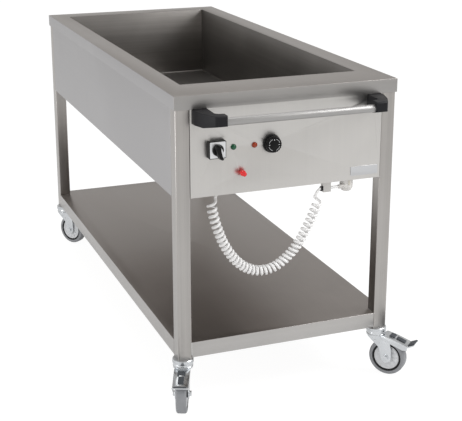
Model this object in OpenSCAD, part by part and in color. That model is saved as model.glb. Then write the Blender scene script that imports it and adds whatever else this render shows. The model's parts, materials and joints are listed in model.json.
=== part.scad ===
// A mobile hot-food trolley: a long sheet-metal water well in a worktop with a turned-down
// edge, carried by four square legs on swivel casters, with a shelf below, a control panel
// and a push bar at one end, and a curly supply lead parked under the panel.
// Millimetres. X runs across the width, Y along the length with the control end at -Y,
// Z up. The sizes are taken from the middle of the worktop, and placed() then puts the
// origin on the floor under the middle of the whole trolley, push bar and pedals included.

/* [Worktop and well] */
// Width of the worktop
top_w = 650; // [600:5:700]
// Length of the worktop
top_l = 1500; // [1300:10:1700]
// Height of the worktop above the floor
top_h = 890; // [850:5:950]
// Depth of the worktop's turned-down edge
apron_h = 38; // [30:1:48]
// Thickness of the body's sheet metal
sheet_t = 1.5; // [1:0.1:2]
// Width of the worktop beside the well
rim_side_w = 62; // [54:1:75]
// Width of the worktop between the well and the control end
rim_front_w = 135; // [120:1:170]
// Width of the worktop behind the well
rim_back_w = 65; // [52:1:90]
// Depth of the well below the worktop
well_d = 240; // [215:5:260]
// Height of the closed space under the well
under_well_h = 40; // [34:1:70]
// Wall thickness of the well
tub_t = 1.2; // [0.8:0.1:2]
// Width of the well's flange under the worktop
tub_flange_w = 18; // [8:1:18]

/* [Body panels] */
// Gap between a panel and the legs beside it
panel_gap = 0.5; // [0.2:0.1:0.8]
// Depth of the turned-in edges of the panels
panel_return_w = 16; // [10:1:16]
// Gap round loosely fitted sheet parts
sheet_fit = 0.3; // [0.1:0.1:0.6]

/* [Legs and shelf] */
// Width of the square leg tube
leg_w = 40; // [36:1:42]
// Wall thickness of the leg tube
leg_t = 1.5; // [1.2:0.1:2]
// Outer corner radius of the leg tube
leg_corner_r = 3; // [2:0.5:4]
// How far the worktop stands out past the legs
top_overhang = 3.5; // [2.5:0.5:8]
// Height of the shelf's turned-down lip
shelf_lip_h = 45; // [30:1:60]
// Height of the shelf lip's lower edge above the bottom of the legs
shelf_lift = 4; // [1:1:60]
// Width of the turned-in hem under the shelf's lip
shelf_hem_w = 12; // [6:1:20]

/* [Push bar] */
// Diameter of the push bar
bar_d = 21; // [20:1:26]
// Wall thickness of the push bar
bar_t = 1.5; // [1:0.1:2]
// Distance from the control panel to the middle of the bar
bar_reach = 85; // [75:1:100]
// Distance from the panel's edge to the inner end of a bar bracket
bracket_inset = 69; // [66:1:90]
// Height of a bracket where it holds the bar
bracket_h = 38; // [36:1:42]
// Height of a bracket's foot on the panel
bracket_foot_h = 46; // [44:1:52]
// Length of bar inside each bracket
bar_seat_l = 18; // [10:1:24]
// Shaft diameter of the bracket screws
screw_d = 6; // [5:0.5:6]

/* [Controls] */
// Height of the row of controls below the worktop
control_drop = 150; // [120:1:160]
// Distance from the panel's left edge to the main switch
switch_inset = 72; // [50:1:80]
// Side of the main switch's square base
switch_base_w = 48; // [46:1:58]
// Depth of the main switch's base in front of the panel
switch_base_h = 14; // [8:1:18]
// Side of the main switch's plate
switch_plate_w = 44; // [40:1:46]
// Distance from the panel's left edge to the green lamp
green_lamp_inset = 122; // [112:1:135]
// Distance from the panel's left edge to the amber lamp
amber_lamp_inset = 182; // [160:1:195]
// Diameter of a signal lamp's lens
lamp_d = 15; // [12:1:18]
// Distance from the panel's left edge to the thermostat knob
thermostat_inset = 231; // [225:1:260]
// Diameter of the thermostat knob's skirt
knob_skirt_d = 50; // [44:1:54]
// Height of the thermostat knob in front of the panel
knob_h = 21; // [16:1:26]
// Distance from the panel's left edge to the drain knob
drain_inset = 145; // [130:1:170]
// Height of the drain's bore above the well's floor
drain_rise = 10; // [4:1:16]
// Length across the wings of the drain knob
drain_knob_w = 22; // [18:1:32]
// Width of the bare plate
plate_w = 84; // [50:1:90]
// Height of the bare plate
plate_h = 26; // [16:1:30]
// Distance from the panel's right edge to the middle of the bare plate
plate_inset = 49; // [46:1:90]
// Height of the middle of the bare plate above the panel's lower edge
plate_rise = 25; // [18:1:40]

/* [Drain] */
// Outer diameter of the drain pipe
drain_pipe_d = 21; // [19:0.5:22]
// Bore of the drain pipe
drain_bore_d = 16; // [12:0.5:16]
// Diameter of the outlet's hose connection
outlet_d = 26.4; // [24:0.1:28]
// Length of the outlet's hose connection
outlet_l = 16; // [14:1:24]
// Side of the square drain valve body
valve_w = 36; // [32:1:38]

/* [Supply lead] */
// Diameter of the supply lead
cord_d = 8; // [7:0.5:8]
// Outer diameter of the curls
curl_d = 30; // [26:1:32]
// Number of curls
curls = 40; // [30:1:42]
// Width of the parking bracket
park_w = 23; // [18:1:28]
// Height of the parking bracket
park_h = 27; // [26:1:32]
// Depth of the parking bracket from front to back
park_depth = 18; // [16:1:22]
// Diameter of the plug
plug_d = 37; // [34:1:39]

/* [Casters] */
// Overall height of a caster
caster_h = 145; // [140:1:155]
// Diameter of a wheel with its tyre
wheel_d = 110; // [100:1:112]
// Width of a tyre
wheel_w = 30; // [24:1:31]
// Radial thickness of a tyre
tyre_t = 11; // [7:0.5:14]
// Depth of the rounding at a tyre's shoulders
tyre_shoulder = 5; // [2:0.5:6]
// Distance from a caster's swivel axis to its axle
caster_trail = 40; // [36:1:42]
// Inner width of a caster's fork
fork_gap = 34; // [33.5:0.5:36]
// Thickness of a fork's steel
fork_t = 2.5; // [2:0.1:3]
// Diameter of a caster's upper race
race_d = 60; // [56:1:62]
// Diameter of an axle bolt
axle_d = 8; // [6:0.5:9]
// Radial running clearance of axles, pins and shafts
running_gap = 0.05; // [0.02:0.01:0.1]
// Turn of the front left caster from pointing right
front_left_turn = -113; // [-180:1:180]
// Turn of the front right caster from pointing right
front_right_turn = -48; // [-180:1:180]
// Turn of the rear left caster from pointing right
rear_left_turn = -55; // [-180:1:180]
// Turn of the rear right caster from pointing right
rear_right_turn = -70; // [-180:1:180]

/* [Hidden] */
$fn = 64;

// Extra length of a cutting shape past the face that it cuts
cut = 1;
// Small gap between pieces that seat on each other
seat = 0.3;

// Outer faces of the legs, which the panels and the shelf lip share
face_x = top_w / 2 - top_overhang;
face_y = top_l / 2 - top_overhang;
// Middles of the legs
leg_x = face_x - leg_w / 2;
leg_y = face_y - leg_w / 2;
// Half widths of the openings between the legs
between_x = leg_x - leg_w / 2;
between_y = leg_y - leg_w / 2;
under_top_z = top_h - sheet_t;
body_h = well_d + under_well_h;
body_z = top_h - body_h;

// The well
well_w = top_w - 2 * rim_side_w;
well_l = top_l - rim_front_w - rim_back_w;
well_y = (rim_front_w - rim_back_w) / 2;
well_front_y = well_y - well_l / 2;
well_floor_z = top_h - well_d;

// The control panel's sheet
panel_l = -between_x + panel_gap;
panel_r = between_x - panel_gap;
panel_y = -face_y;
control_z = top_h - control_drop;
switch_x = panel_l + switch_inset;
green_lamp_x = panel_l + green_lamp_inset;
amber_lamp_x = panel_l + amber_lamp_inset;
thermostat_x = panel_l + thermostat_inset;
drain_x = panel_l + drain_inset;
drain_z = well_floor_z + drain_rise + drain_bore_d / 2;
plate_x = panel_r - plate_inset;
plate_z = body_z + plate_rise;

// Shafts and bushes behind the panel
switch_shaft_d = 8;
thermostat_shaft_d = 6;
drain_spindle_d = 8;
lamp_neck_d = 12;
panel_hole_gap = 0.5;
knob_gap = 0.6;

// The tray rests on the turned-in lower edges of the panels
tray_z = body_z + sheet_t;

// The drain valve stands behind the panel, and its outlet drops through the base tray
valve_front_y = panel_y + 42;
valve_back_y = valve_front_y + valve_w;
valve_y = (valve_front_y + valve_back_y) / 2;
outlet_end_z = tray_z - 1 - outlet_l;

// Push bar
bracket_top_z = top_h - apron_h - seat;
bar_z = bracket_top_z - bracket_h / 2;
bar_y = panel_y - bar_reach;
bracket_front_y = bar_y - bar_d / 2 - 4;
bracket_foot_w = 42;
bracket_inner_x = panel_r - bracket_inset;
bracket_foot_x = bracket_inner_x + 22;
bracket_screw_gap = 22;

// Supply lead: the gland, the parking bracket and the plug
gland_x = -199;
gland_y = panel_y + 32;
gland_d = 20;
gland_h = 13;
gland_nut_h = 5;
park_x = 120;
park_y = panel_y + 10;
park_cord_z = body_z - 18;
grommet_d = 14;
grommet_out = 5;
plug_x = park_x + 68;
plug_pin_d = 4.8;
plug_y = panel_y + panel_return_w + plug_pin_d / 2 + 2;
plug_pin_l = 19;
plug_pin_gap = 19;
tail_start_x = park_x - park_w / 2 - grommet_out;
tail_end_x = plug_x - 32;

// Route that the curls wind round, from the gland to the grommet: across, along and up from
// the gland, and then from the grommet. The first and the last point only steer the ends.
cord_start = [gland_x, gland_y, body_z - gland_h + sheet_t];
cord_end = [tail_start_x, park_y, park_cord_z];
curl_r = (curl_d - cord_d) / 2;
cord_route = [
    [1 - curl_r, 0, 33], [-curl_r, 0, 0], [1 - curl_r, 0, -33], [-4, -2, -66], [6, -4, -99],
    [18, -4, -130], [34, -5, -160], [53, -7, -187], [78, -8, -210], [107, -9, -225],
    [141, -11, -229], [174, -12, -221], [203, -13, -202], [227, -15, -178], [247, -16, -151],
    [263, -17, -121], [278, -19, -90], [291, -20, -58], [299, -22, -25]];
cord_hook = [[0, 0, 0], [9, 0, -19]];

// Caster levels
axle_z = wheel_d / 2;
race_top_z = caster_h;
race_cap_h = 14;
swivel_gap = 0.4;
crown_z = wheel_d + 8;
crown_t = 3;
fork_race_d = race_d - 6;
king_d = 10;
king_nut_d = 19;
king_nut_h = 8;
plug_in_leg_h = 32;
sleeve_d = axle_d + 4;
washer_d = 17;
washer_t = 1.2;
bolt_head_d = 15;
bolt_head_h = 5;
fork_out = fork_gap / 2 + fork_t;
pedal_pin_d = 6;
pedal_pin_x = 26;
pedal_pin_z = crown_z - 4;
pedal_t = 2;
pedal_in = fork_out + 0.7;
pedal_out = pedal_in + pedal_t;
pedal_tip_x = 124;

// Where the origin lies from the worktop's middle: halfway between the pedals across the
// width, and halfway between the rear edge and whichever reaches furthest at the control end
function pedal_reach_x(turn) = pedal_tip_x * abs(cos(turn)) + pedal_out * abs(sin(turn));
function pedal_reach_y(turn) = pedal_tip_x * abs(sin(turn)) + pedal_out * abs(cos(turn));
middle_x = (pedal_reach_x(front_right_turn) - pedal_reach_x(front_left_turn)) / 2;
middle_y = (top_l / 2 - max(-bracket_front_y, leg_y + pedal_reach_y(front_left_turn),
    leg_y + pedal_reach_y(front_right_turn))) / 2;

STEEL = [0.72, 0.71, 0.69];
DARK_STEEL = [0.50, 0.49, 0.47];
ZINC = [0.80, 0.82, 0.83];
BLACK = [0.09, 0.09, 0.10];
WHITE = [0.90, 0.90, 0.88];

// Rectangle about the origin with round corners
module round_rect(w, l, r) {
    square([w - 2 * r, l], center = true);
    square([w, l - 2 * r], center = true);
    for (sx = [-1, 1], sy = [-1, 1])
        translate([sx * (w / 2 - r), sy * (l / 2 - r)]) circle(r = r);
}

// Cylinder along Y from y0 to y1 at x, z
module rod_y(x, z, y0, y1, d) {
    translate([x, y0, z]) rotate([-90, 0, 0]) cylinder(d = d, h = y1 - y0);
}

// Cylinder along X from x0 to x1 at y, z
module rod_x(x0, x1, y, z, d) {
    translate([x0, y, z]) rotate([0, 90, 0]) cylinder(d = d, h = x1 - x0);
}

// Outline in X and Z, from y0 to y1
module slab_y(y0, y1) {
    translate([0, y1, 0]) rotate([90, 0, 0]) linear_extrude(y1 - y0) children();
}

// Panel with all four edges turned in: outer face on y = 0, middle on x = 0, foot on z = 0
module pan(w, h) {
    difference() {
        translate([-w / 2, 0, 0]) cube([w, panel_return_w, h]);
        translate([-w / 2 + sheet_t, sheet_t, sheet_t])
            cube([w - 2 * sheet_t, panel_return_w, h - 2 * sheet_t]);
    }
}

// Puts the origin on the floor under the middle of the whole trolley
module placed() {
    translate([-middle_x, -middle_y, 0]) children();
}

module worktop_rim() {
    color(STEEL) difference() {
        translate([-top_w / 2, -top_l / 2, top_h - apron_h]) cube([top_w, top_l, apron_h]);
        translate([-top_w / 2 + sheet_t, -top_l / 2 + sheet_t, top_h - apron_h - cut])
            cube([top_w - 2 * sheet_t, top_l - 2 * sheet_t, apron_h + cut - sheet_t]);
        translate([-well_w / 2, well_front_y, under_top_z - cut])
            cube([well_w, well_l, sheet_t + 2 * cut]);
    }
}

// Wall of the well with its flange turned outwards: inner face on y = 0, middle on x = 0
module well_wall(w) {
    translate([-w / 2, -tub_t, 0]) cube([w, tub_t, under_top_z - well_floor_z]);
    translate([-w / 2, -tub_flange_w, under_top_z - well_floor_z - tub_t])
        cube([w, tub_flange_w, tub_t]);
}

module well_side_walls() {
    color(DARK_STEEL) for (s = [0, 1]) mirror([s, 0, 0])
        translate([-well_w / 2, well_y, well_floor_z]) rotate([0, 0, -90])
        well_wall(well_l + 2 * tub_t);
}

module well_end_walls() {
    color(DARK_STEEL) difference() {
        for (turn = [0, 180]) translate([0, well_y, well_floor_z]) rotate([0, 0, turn])
            translate([0, -well_l / 2, 0]) well_wall(well_w);
        rod_y(drain_x, drain_z, well_front_y - tub_t - cut, well_front_y + cut, drain_bore_d);
    }
}

module well_floor() {
    color(DARK_STEEL) translate([-well_w / 2 - tub_t, well_front_y - tub_t, well_floor_z - tub_t])
        cube([well_w + 2 * tub_t, well_l + 2 * tub_t, tub_t]);
}

module side_panel() {
    color(STEEL) translate([-face_x, 0, body_z]) rotate([0, 0, -90])
        pan(2 * (between_y - panel_gap), body_h - sheet_t);
}

module rear_panel() {
    color(STEEL) translate([0, face_y, body_z]) rotate([0, 0, 180])
        pan(2 * (between_x - panel_gap), body_h - sheet_t);
}

module control_panel() {
    hole_y0 = panel_y - cut;
    hole_y1 = panel_y + sheet_t + cut;
    color(STEEL) difference() {
        translate([0, panel_y, body_z]) pan(2 * (between_x - panel_gap), body_h - sheet_t);
        rod_y(switch_x, control_z, hole_y0, hole_y1, switch_shaft_d + 2 * panel_hole_gap);
        rod_y(thermostat_x, control_z, hole_y0, hole_y1, thermostat_shaft_d + 2 * panel_hole_gap);
        rod_y(drain_x, drain_z, hole_y0, hole_y1, drain_spindle_d + 2 * panel_hole_gap);
        for (x = [green_lamp_x, amber_lamp_x])
            rod_y(x, control_z, hole_y0, hole_y1, lamp_neck_d + sheet_fit);
        bracket_screws() rod_y(0, 0, hole_y0, hole_y1, screw_d + sheet_fit);
    }
}

module base_tray() {
    inner_x = face_x - sheet_t - sheet_fit;
    inner_y = face_y - sheet_t - sheet_fit;
    notch_x = between_x - panel_gap - sheet_t - sheet_fit;
    notch_y = between_y - panel_gap - sheet_t - sheet_fit;
    color(STEEL) difference() {
        translate([0, 0, tray_z]) linear_extrude(sheet_t) union() {
            square([2 * inner_x, 2 * notch_y], center = true);
            square([2 * notch_x, 2 * inner_y], center = true);
        }
        translate([gland_x, gland_y, tray_z - cut]) cylinder(d = gland_thread_d + sheet_fit,
            h = sheet_t + 2 * cut);
        translate([drain_x, valve_y, tray_z - cut]) cylinder(d = drain_pipe_d + sheet_fit,
            h = sheet_t + 2 * cut);
        for (s = [-1, 1]) translate([plug_x + s * plug_pin_gap / 2, plug_y, tray_z - cut])
            cylinder(d = plug_pin_d + sheet_fit, h = sheet_t + 2 * cut);
    }
}

// One leg at the corner with the signs sx and sy
module leg(sx, sy) {
    color(STEEL) translate([sx * leg_x, sy * leg_y, caster_h])
        linear_extrude(under_top_z - caster_h) difference() {
            round_rect(leg_w, leg_w, leg_corner_r);
            round_rect(leg_w - 2 * leg_t, leg_w - 2 * leg_t, max(leg_corner_r - leg_t, 0.5));
        }
}

module undershelf() {
    lip_z = caster_h + shelf_lift;
    notch = leg_w + sheet_fit;
    color(DARK_STEEL) difference() {
        translate([-face_x, -face_y, lip_z]) cube([2 * face_x, 2 * face_y, shelf_lip_h]);
        translate([-face_x + sheet_t, -face_y + sheet_t, lip_z + sheet_t])
            cube([2 * (face_x - sheet_t), 2 * (face_y - sheet_t), shelf_lip_h - 2 * sheet_t]);
        translate([-face_x + shelf_hem_w, -face_y + shelf_hem_w, lip_z - cut])
            cube([2 * (face_x - shelf_hem_w), 2 * (face_y - shelf_hem_w), sheet_t + 2 * cut]);
        for (sx = [-1, 1], sy = [-1, 1])
            translate([sx * (face_x - notch / 2 + cut), sy * (face_y - notch / 2 + cut), lip_z - cut])
                linear_extrude(shelf_lip_h + 2 * cut)
                square([notch + 2 * cut, notch + 2 * cut], center = true);
    }
}

// Heater rod in parallel runs under the well's floor, joined by half turns
heater_d = 8;
heater_runs = 6;
heater_pitch = 70;
heater_end_gap = 130;
heater_run_l = well_l - 2 * heater_end_gap;
module heating_element() {
    z = well_floor_z - tub_t - seat - heater_d / 2;
    y0 = well_y - heater_run_l / 2;
    x0 = -heater_pitch * (heater_runs - 1) / 2;
    tail_l = 70;
    color([0.35, 0.33, 0.32]) union() {
        for (i = [0 : heater_runs - 1])
            rod_y(x0 + i * heater_pitch, z, y0 - (i == 0 || i == heater_runs - 1 ? tail_l : 0),
                y0 + heater_run_l, heater_d);
        for (i = [0 : heater_runs - 2]) {
            turn_y = i % 2 == 0 ? y0 + heater_run_l : y0;
            translate([x0 + (i + 0.5) * heater_pitch, turn_y, z])
                rotate([0, 0, i % 2 == 0 ? 0 : 180]) rotate_extrude(angle = 180)
                translate([heater_pitch / 2, 0]) circle(d = heater_d);
        }
    }
}

module thermostat_body() {
    w = 36;
    depth = 42;
    back_y = panel_y + sheet_t;
    color([0.75, 0.72, 0.62]) difference() {
        translate([thermostat_x - w / 2, back_y, control_z - w / 2]) cube([w, depth, w]);
        rod_y(thermostat_x, control_z, back_y - cut, back_y + 20,
            thermostat_shaft_d + 2 * running_gap);
    }
}

module switch_base() {
    color(BLACK) difference() {
        translate([switch_x, panel_y, control_z]) rotate([90, 0, 0]) linear_extrude(switch_base_h)
            round_rect(switch_base_w, switch_base_w, 3);
        rod_y(switch_x, control_z, panel_y - switch_base_h - cut, panel_y + cut,
            switch_shaft_d + 2 * panel_hole_gap);
    }
}

switch_plate_t = 1.5;
module switch_plate() {
    plate_y = panel_y - switch_base_h;
    color([0.85, 0.85, 0.86]) difference() {
        translate([switch_x, plate_y, control_z]) rotate([90, 0, 0]) linear_extrude(switch_plate_t)
            round_rect(switch_plate_w, switch_plate_w, 2);
        rod_y(switch_x, control_z, plate_y - switch_plate_t - cut, plate_y + cut,
            switch_shaft_d + 2 * panel_hole_gap);
    }
}

module switch_body() {
    w = 44;
    depth = 58;
    back_y = panel_y + sheet_t;
    color([0.2, 0.2, 0.22]) difference() {
        translate([switch_x - w / 2, back_y, control_z - w / 2]) cube([w, depth, w]);
        rod_y(switch_x, control_z, back_y - cut, back_y + 20, switch_shaft_d + 2 * running_gap);
    }
}

// Signal lamp at x: bezel and lens in front, threaded neck and nut behind the panel
module lamp(x, hue) {
    bezel_t = 2;
    lens_d = lamp_d - 3;
    neck_l = 24;
    nut_d = 18;
    nut_t = 4;
    color(hue) union() {
        rod_y(x, control_z, panel_y - bezel_t, panel_y, lamp_d);
        rod_y(x, control_z, panel_y - bezel_t - 2, panel_y, lens_d);
        rod_y(x, control_z, panel_y - cut, panel_y + neck_l, lamp_neck_d);
        rod_y(x, control_z, panel_y + sheet_t, panel_y + sheet_t + nut_t, nut_d);
    }
}

module drain_valve() {
    color([0.72, 0.60, 0.34]) difference() {
        translate([drain_x - valve_w / 2, valve_front_y, drain_z - valve_w / 2]) cube(valve_w);
        rod_y(drain_x, drain_z, valve_y, valve_back_y + cut, drain_bore_d);
        translate([drain_x, valve_y, drain_z - valve_w / 2 - cut])
            cylinder(d = drain_bore_d, h = valve_w / 2 + cut);
        rod_y(drain_x, drain_z, valve_front_y - cut, valve_y, drain_spindle_d + 2 * running_gap);
    }
}

module drain_pipes() {
    tub_front_y = well_front_y - tub_t;
    valve_foot_z = drain_z - valve_w / 2;
    color(STEEL) union() {
        difference() {
            rod_y(drain_x, drain_z, valve_back_y, tub_front_y, drain_pipe_d);
            rod_y(drain_x, drain_z, valve_back_y - cut, tub_front_y + cut, drain_bore_d);
        }
        translate([drain_x, valve_y, 0]) difference() {
            union() {
                translate([0, 0, outlet_end_z]) cylinder(d = drain_pipe_d, h = valve_foot_z - outlet_end_z);
                translate([0, 0, outlet_end_z]) cylinder(d = outlet_d, h = outlet_l);
            }
            translate([0, 0, outlet_end_z - cut])
                cylinder(d = drain_bore_d, h = valve_foot_z - outlet_end_z + 2 * cut);
        }
    }
}

module nameplate_blank() {
    plate_t = 1.2;
    color([0.82, 0.82, 0.81]) translate([plate_x, panel_y, plate_z]) rotate([90, 0, 0])
        linear_extrude(plate_t) round_rect(plate_w, plate_h, 2.5);
}

// Channel under the panel's lower edge, open behind and below; the lead runs through it
module park_bracket() {
    x0 = park_x - park_w / 2;
    y0 = park_y - park_depth / 2;
    z0 = body_z - park_h;
    color(STEEL) difference() {
        translate([x0, y0, z0]) cube([park_w, park_depth, park_h]);
        translate([x0 + sheet_t, y0 + sheet_t, z0 - cut])
            cube([park_w - 2 * sheet_t, park_depth, park_h + cut - sheet_t]);
        rod_x(x0 - cut, x0 + park_w / 2, park_y, park_cord_z, grommet_neck_d + sheet_fit);
        rod_x(park_x, x0 + park_w + cut, park_y, park_cord_z, cord_d + 2);
    }
}

grommet_neck_d = cord_d + 3;
module park_grommet() {
    x0 = park_x - park_w / 2;
    color(BLACK) difference() {
        union() {
            rod_x(x0 - grommet_out, x0, park_y, park_cord_z, grommet_d);
            rod_x(x0 - cut, x0 + sheet_t + 2, park_y, park_cord_z, grommet_neck_d);
        }
        rod_x(x0 - grommet_out - cut, x0 + sheet_t + 2 + cut, park_y, park_cord_z,
            cord_d + 2 * seat);
    }
}

gland_thread_d = 14;
module cord_gland() {
    nut_z = tray_z - gland_nut_h;
    end_z = cord_start[2];
    locknut_t = 3;
    color([0.85, 0.85, 0.84]) translate([gland_x, gland_y, 0]) difference() {
        union() {
            translate([0, 0, nut_z]) cylinder(d = gland_d, h = gland_nut_h);
            translate([0, 0, end_z]) cylinder(d1 = cord_d + 4, d2 = gland_d - 2, h = nut_z - end_z);
            translate([0, 0, nut_z]) cylinder(d = gland_thread_d, h = gland_nut_h + sheet_t + locknut_t);
            translate([0, 0, tray_z + sheet_t]) cylinder(d = gland_d, h = locknut_t);
        }
        translate([0, 0, end_z + 2]) cylinder(d = cord_d + 2 * seat, h = gland_h + 20);
    }
}

// The curly lead. A smooth curve runs through the route's points, and the tube winds round it
// as a right-handed coil, closer together at the lowest point. The coil starts and ends
// gently, and its last turn runs into the grommet.
curl_rings = 8;
lead_rings = 4;
tube_sides = 6;
curl_bunch = 0.12;
curl_ramp = 1.8;
route_points = concat([for (p = cord_route) cord_start + p], [for (p = cord_hook) cord_end + p]);
route_spans = len(route_points) - 3;
first_curl_u = 0.15;
last_curl_u = route_spans - 1;
ramp_rate = curls / curl_ramp;

function unit(v) = v / norm(v);
function curve(a, b, c, d, t) =
    0.5 * (2 * b + (c - a) * t + (2 * a - 5 * b + 4 * c - d) * t * t
    + (3 * b - a - 3 * c + d) * t * t * t);
function span(u) = min(floor(u), route_spans - 1);
function axis_point(u) = let (i = span(u))
    curve(route_points[i], route_points[i + 1], route_points[i + 2], route_points[i + 3], u - i);
function axis_way(u) = let (e = 0.02, a = max(u - e, 0), b = min(u + e, route_spans))
    unit(axis_point(b) - axis_point(a));
function smooth(t) = t * t * (3 - 2 * t);
// Share of the coil's turns reached at a share of its length, slow at both ends
function eased(t) = t > 0.5 ? 1 - 1 / ramp_rate - eased(1 - t)
    : t * ramp_rate < 1 ? t * t * ramp_rate / 2 : t - 0.5 / ramp_rate;
function curl_part(u) = min(max((u - first_curl_u) / (last_curl_u - first_curl_u), 0), 1);
function curl_angle(u) = let (p = curl_part(u), t = p - curl_bunch * sin(360 * p) / (2 * PI))
    90 + 360 * curls * eased(t) / (1 - 1 / ramp_rate);
function curl_radius(u) =
    curl_r * (1 - smooth(max(u - last_curl_u, 0) / (route_spans - last_curl_u)));
function radial(u) = let (w = axis_way(u), a = unit([0, 1, 0] - w * w[1]), b = cross(w, a),
    q = curl_angle(u)) a * cos(q) + b * sin(q);
function cord_point(u) = axis_point(u) + radial(u) * curl_radius(u);
// Places along the route, evenly spread over the start, the curls and the end
function cord_places(rings) = concat(
    [for (i = [0 : lead_rings - 1]) first_curl_u * i / lead_rings],
    [for (i = [0 : curls * rings]) first_curl_u
        + (last_curl_u - first_curl_u) * i / (curls * rings)],
    [for (i = [1 : 2 * lead_rings]) last_curl_u
        + (route_spans - last_curl_u) * i / (2 * lead_rings)]);

module curly_cord() {
    places = cord_places(curl_rings);
    last = len(places) - 1;
    middle = [for (u = places) cord_point(u)];
    ways = [for (i = [0 : last]) i == 0 ? [0, 0, -1] : i == last ? [1, 0, 0]
        : unit(middle[i + 1] - middle[i - 1])];
    points = [for (i = [0 : last], s = [0 : tube_sides - 1])
        let (w = ways[i], r = radial(places[i]), a = unit(r - w * (r * w)), b = cross(w, a),
            q = 360 * s / tube_sides) middle[i] + (a * cos(q) + b * sin(q)) * cord_d / 2];
    sides = [for (i = [0 : last - 1], s = [0 : tube_sides - 1], half = [0, 1])
        let (n = (s + 1) % tube_sides, a = i * tube_sides, b = a + tube_sides)
        half == 0 ? [a + s, b + s, b + n] : [a + s, b + n, a + n]];
    ends = [for (s = [1 : tube_sides - 2], e = [0, 1])
        let (z = last * tube_sides) e == 0 ? [0, s, s + 1] : [z, z + s + 1, z + s]];
    color(WHITE) polyhedron(points = points, faces = concat(sides, ends));
}

// Least gap of the lead to itself, measured between points from three quarters of a curl
// to four curls apart on its middle line
gap_rings = 16;
gap_line = [for (u = cord_places(gap_rings)) cord_point(u)];
least_gap = min([for (i = [0 : len(gap_line) - 1], k = [gap_rings * 3 / 4 : 4 * gap_rings])
    if (i + k < len(gap_line)) norm(gap_line[i] - gap_line[i + k]) - cord_d]);
echo(least_gap_of_lead = least_gap);  // curly_cord

module cord_tail() {
    color(WHITE) rod_x(tail_start_x, tail_end_x, park_y, park_cord_z, cord_d);
}

// Angled plug with its pins up through the tray and its lead leaving to the left
module plug_body() {
    face_z = body_z - seat;
    grip_h = 24;
    cap_h = 10;
    relief_l = plug_x - 8 - tail_end_x;
    color(WHITE) union() {
        translate([plug_x, plug_y, face_z - grip_h]) cylinder(d = plug_d, h = grip_h);
        translate([plug_x, plug_y, face_z - grip_h - cap_h])
            cylinder(d1 = plug_d - 12, d2 = plug_d, h = cap_h);
        translate([tail_end_x, park_y, park_cord_z]) rotate([0, 90, 0])
            cylinder(d1 = cord_d + 2, d2 = cord_d + 8, h = relief_l);
    }
}

module plug_pins() {
    color([0.75, 0.75, 0.74]) for (s = [-1, 1])
        translate([plug_x + s * plug_pin_gap / 2, plug_y, body_z - seat])
        cylinder(d = plug_pin_d, h = plug_pin_l);
}

// Bracket for the right end of the bar: plan outline cut to a side outline
module handle_bracket() {
    x0 = bracket_inner_x;
    y0 = panel_y;
    yf = bracket_front_y;
    foot0 = bracket_foot_x;
    foot1 = bracket_foot_x + bracket_foot_w;
    back_y = bar_y + bar_d / 2 + 3;
    foot_drop = bracket_foot_h - bracket_h;
    color(BLACK) difference() {
        intersection() {
            translate([0, 0, bracket_top_z - bracket_foot_h]) linear_extrude(bracket_foot_h)
                polygon([[foot0, y0], [foot1, y0], [foot1 - 1, y0 - 22], [foot1 - 13, y0 - 62],
                    [x0 + 34, yf + 3], [x0 + 30, yf], [x0 + 2, yf], [x0, yf + 2],
                    [x0, back_y - 2], [x0 + 3, back_y], [foot0 - 6, back_y + 3],
                    [foot0 + 1, back_y + 10]]);
            translate([x0 - cut, 0, bracket_top_z - bracket_foot_h]) rotate([90, 0, 90])
                linear_extrude(foot1 - x0 + 2 * cut)
                polygon([[y0 + cut, 0], [y0 - 20, 0], [y0 - 55, foot_drop], [yf - cut, foot_drop],
                    [yf - cut, bracket_foot_h - 3], [yf + 4, bracket_foot_h],
                    [y0 + cut, bracket_foot_h]]);
        }
        rod_x(x0 - cut, x0 + bar_seat_l, bar_y, bar_z, bar_d + sheet_fit);
        for (s = [0, 1]) translate([(foot0 + foot1) / 2, 0, bracket_screw_z(s)])
            rod_y(0, 0, y0 - 16, y0 + cut, screw_d + sheet_fit);
    }
}
function bracket_screw_z(s) = bracket_top_z - 8 - s * bracket_screw_gap;

// Places what it holds at the four bracket screws
module bracket_screws() {
    for (side = [-1, 1], s = [0, 1])
        translate([side * (bracket_foot_x + bracket_foot_w / 2), 0, bracket_screw_z(s)]) children();
}

module handle_screws() {
    head_d = 10;
    head_h = 4;
    back_y = panel_y + sheet_t;
    color(ZINC) bracket_screws() union() {
        rod_y(0, 0, panel_y - 15, back_y + cut, screw_d);
        rod_y(0, 0, back_y, back_y + head_h, head_d);
    }
}

module push_bar() {
    half_l = bracket_inner_x + bar_seat_l - seat;
    color(STEEL) difference() {
        rod_x(-half_l, half_l, bar_y, bar_z, bar_d);
        rod_x(-half_l - cut, half_l + cut, bar_y, bar_z, bar_d - 2 * bar_t);
    }
}

// Main switch knob: round foot, wing-shaped grip and its shaft through the panel
switch_knob_turn = -72;
module switch_knob() {
    foot_y = panel_y - switch_base_h - switch_plate_t - knob_gap;
    foot_d = 32;
    foot_t = 4;
    grip_t = 14;
    grip_h = 15;
    tip = 21;
    tail = 15;
    color(BLACK) union() {
        rod_y(switch_x, control_z, foot_y - foot_t, foot_y, foot_d);
        translate([switch_x, foot_y - foot_t, control_z]) rotate([90, -switch_knob_turn, 0])
            linear_extrude(grip_h) union() {
                translate([-tail, -grip_t / 2]) square([tail + tip, grip_t]);
                translate([tip, 0]) circle(d = grip_t);
                translate([-tail, 0]) circle(d = grip_t);
            }
        rod_y(switch_x, control_z, foot_y - foot_t, panel_y + sheet_t + 18, switch_shaft_d);
    }
}

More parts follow.
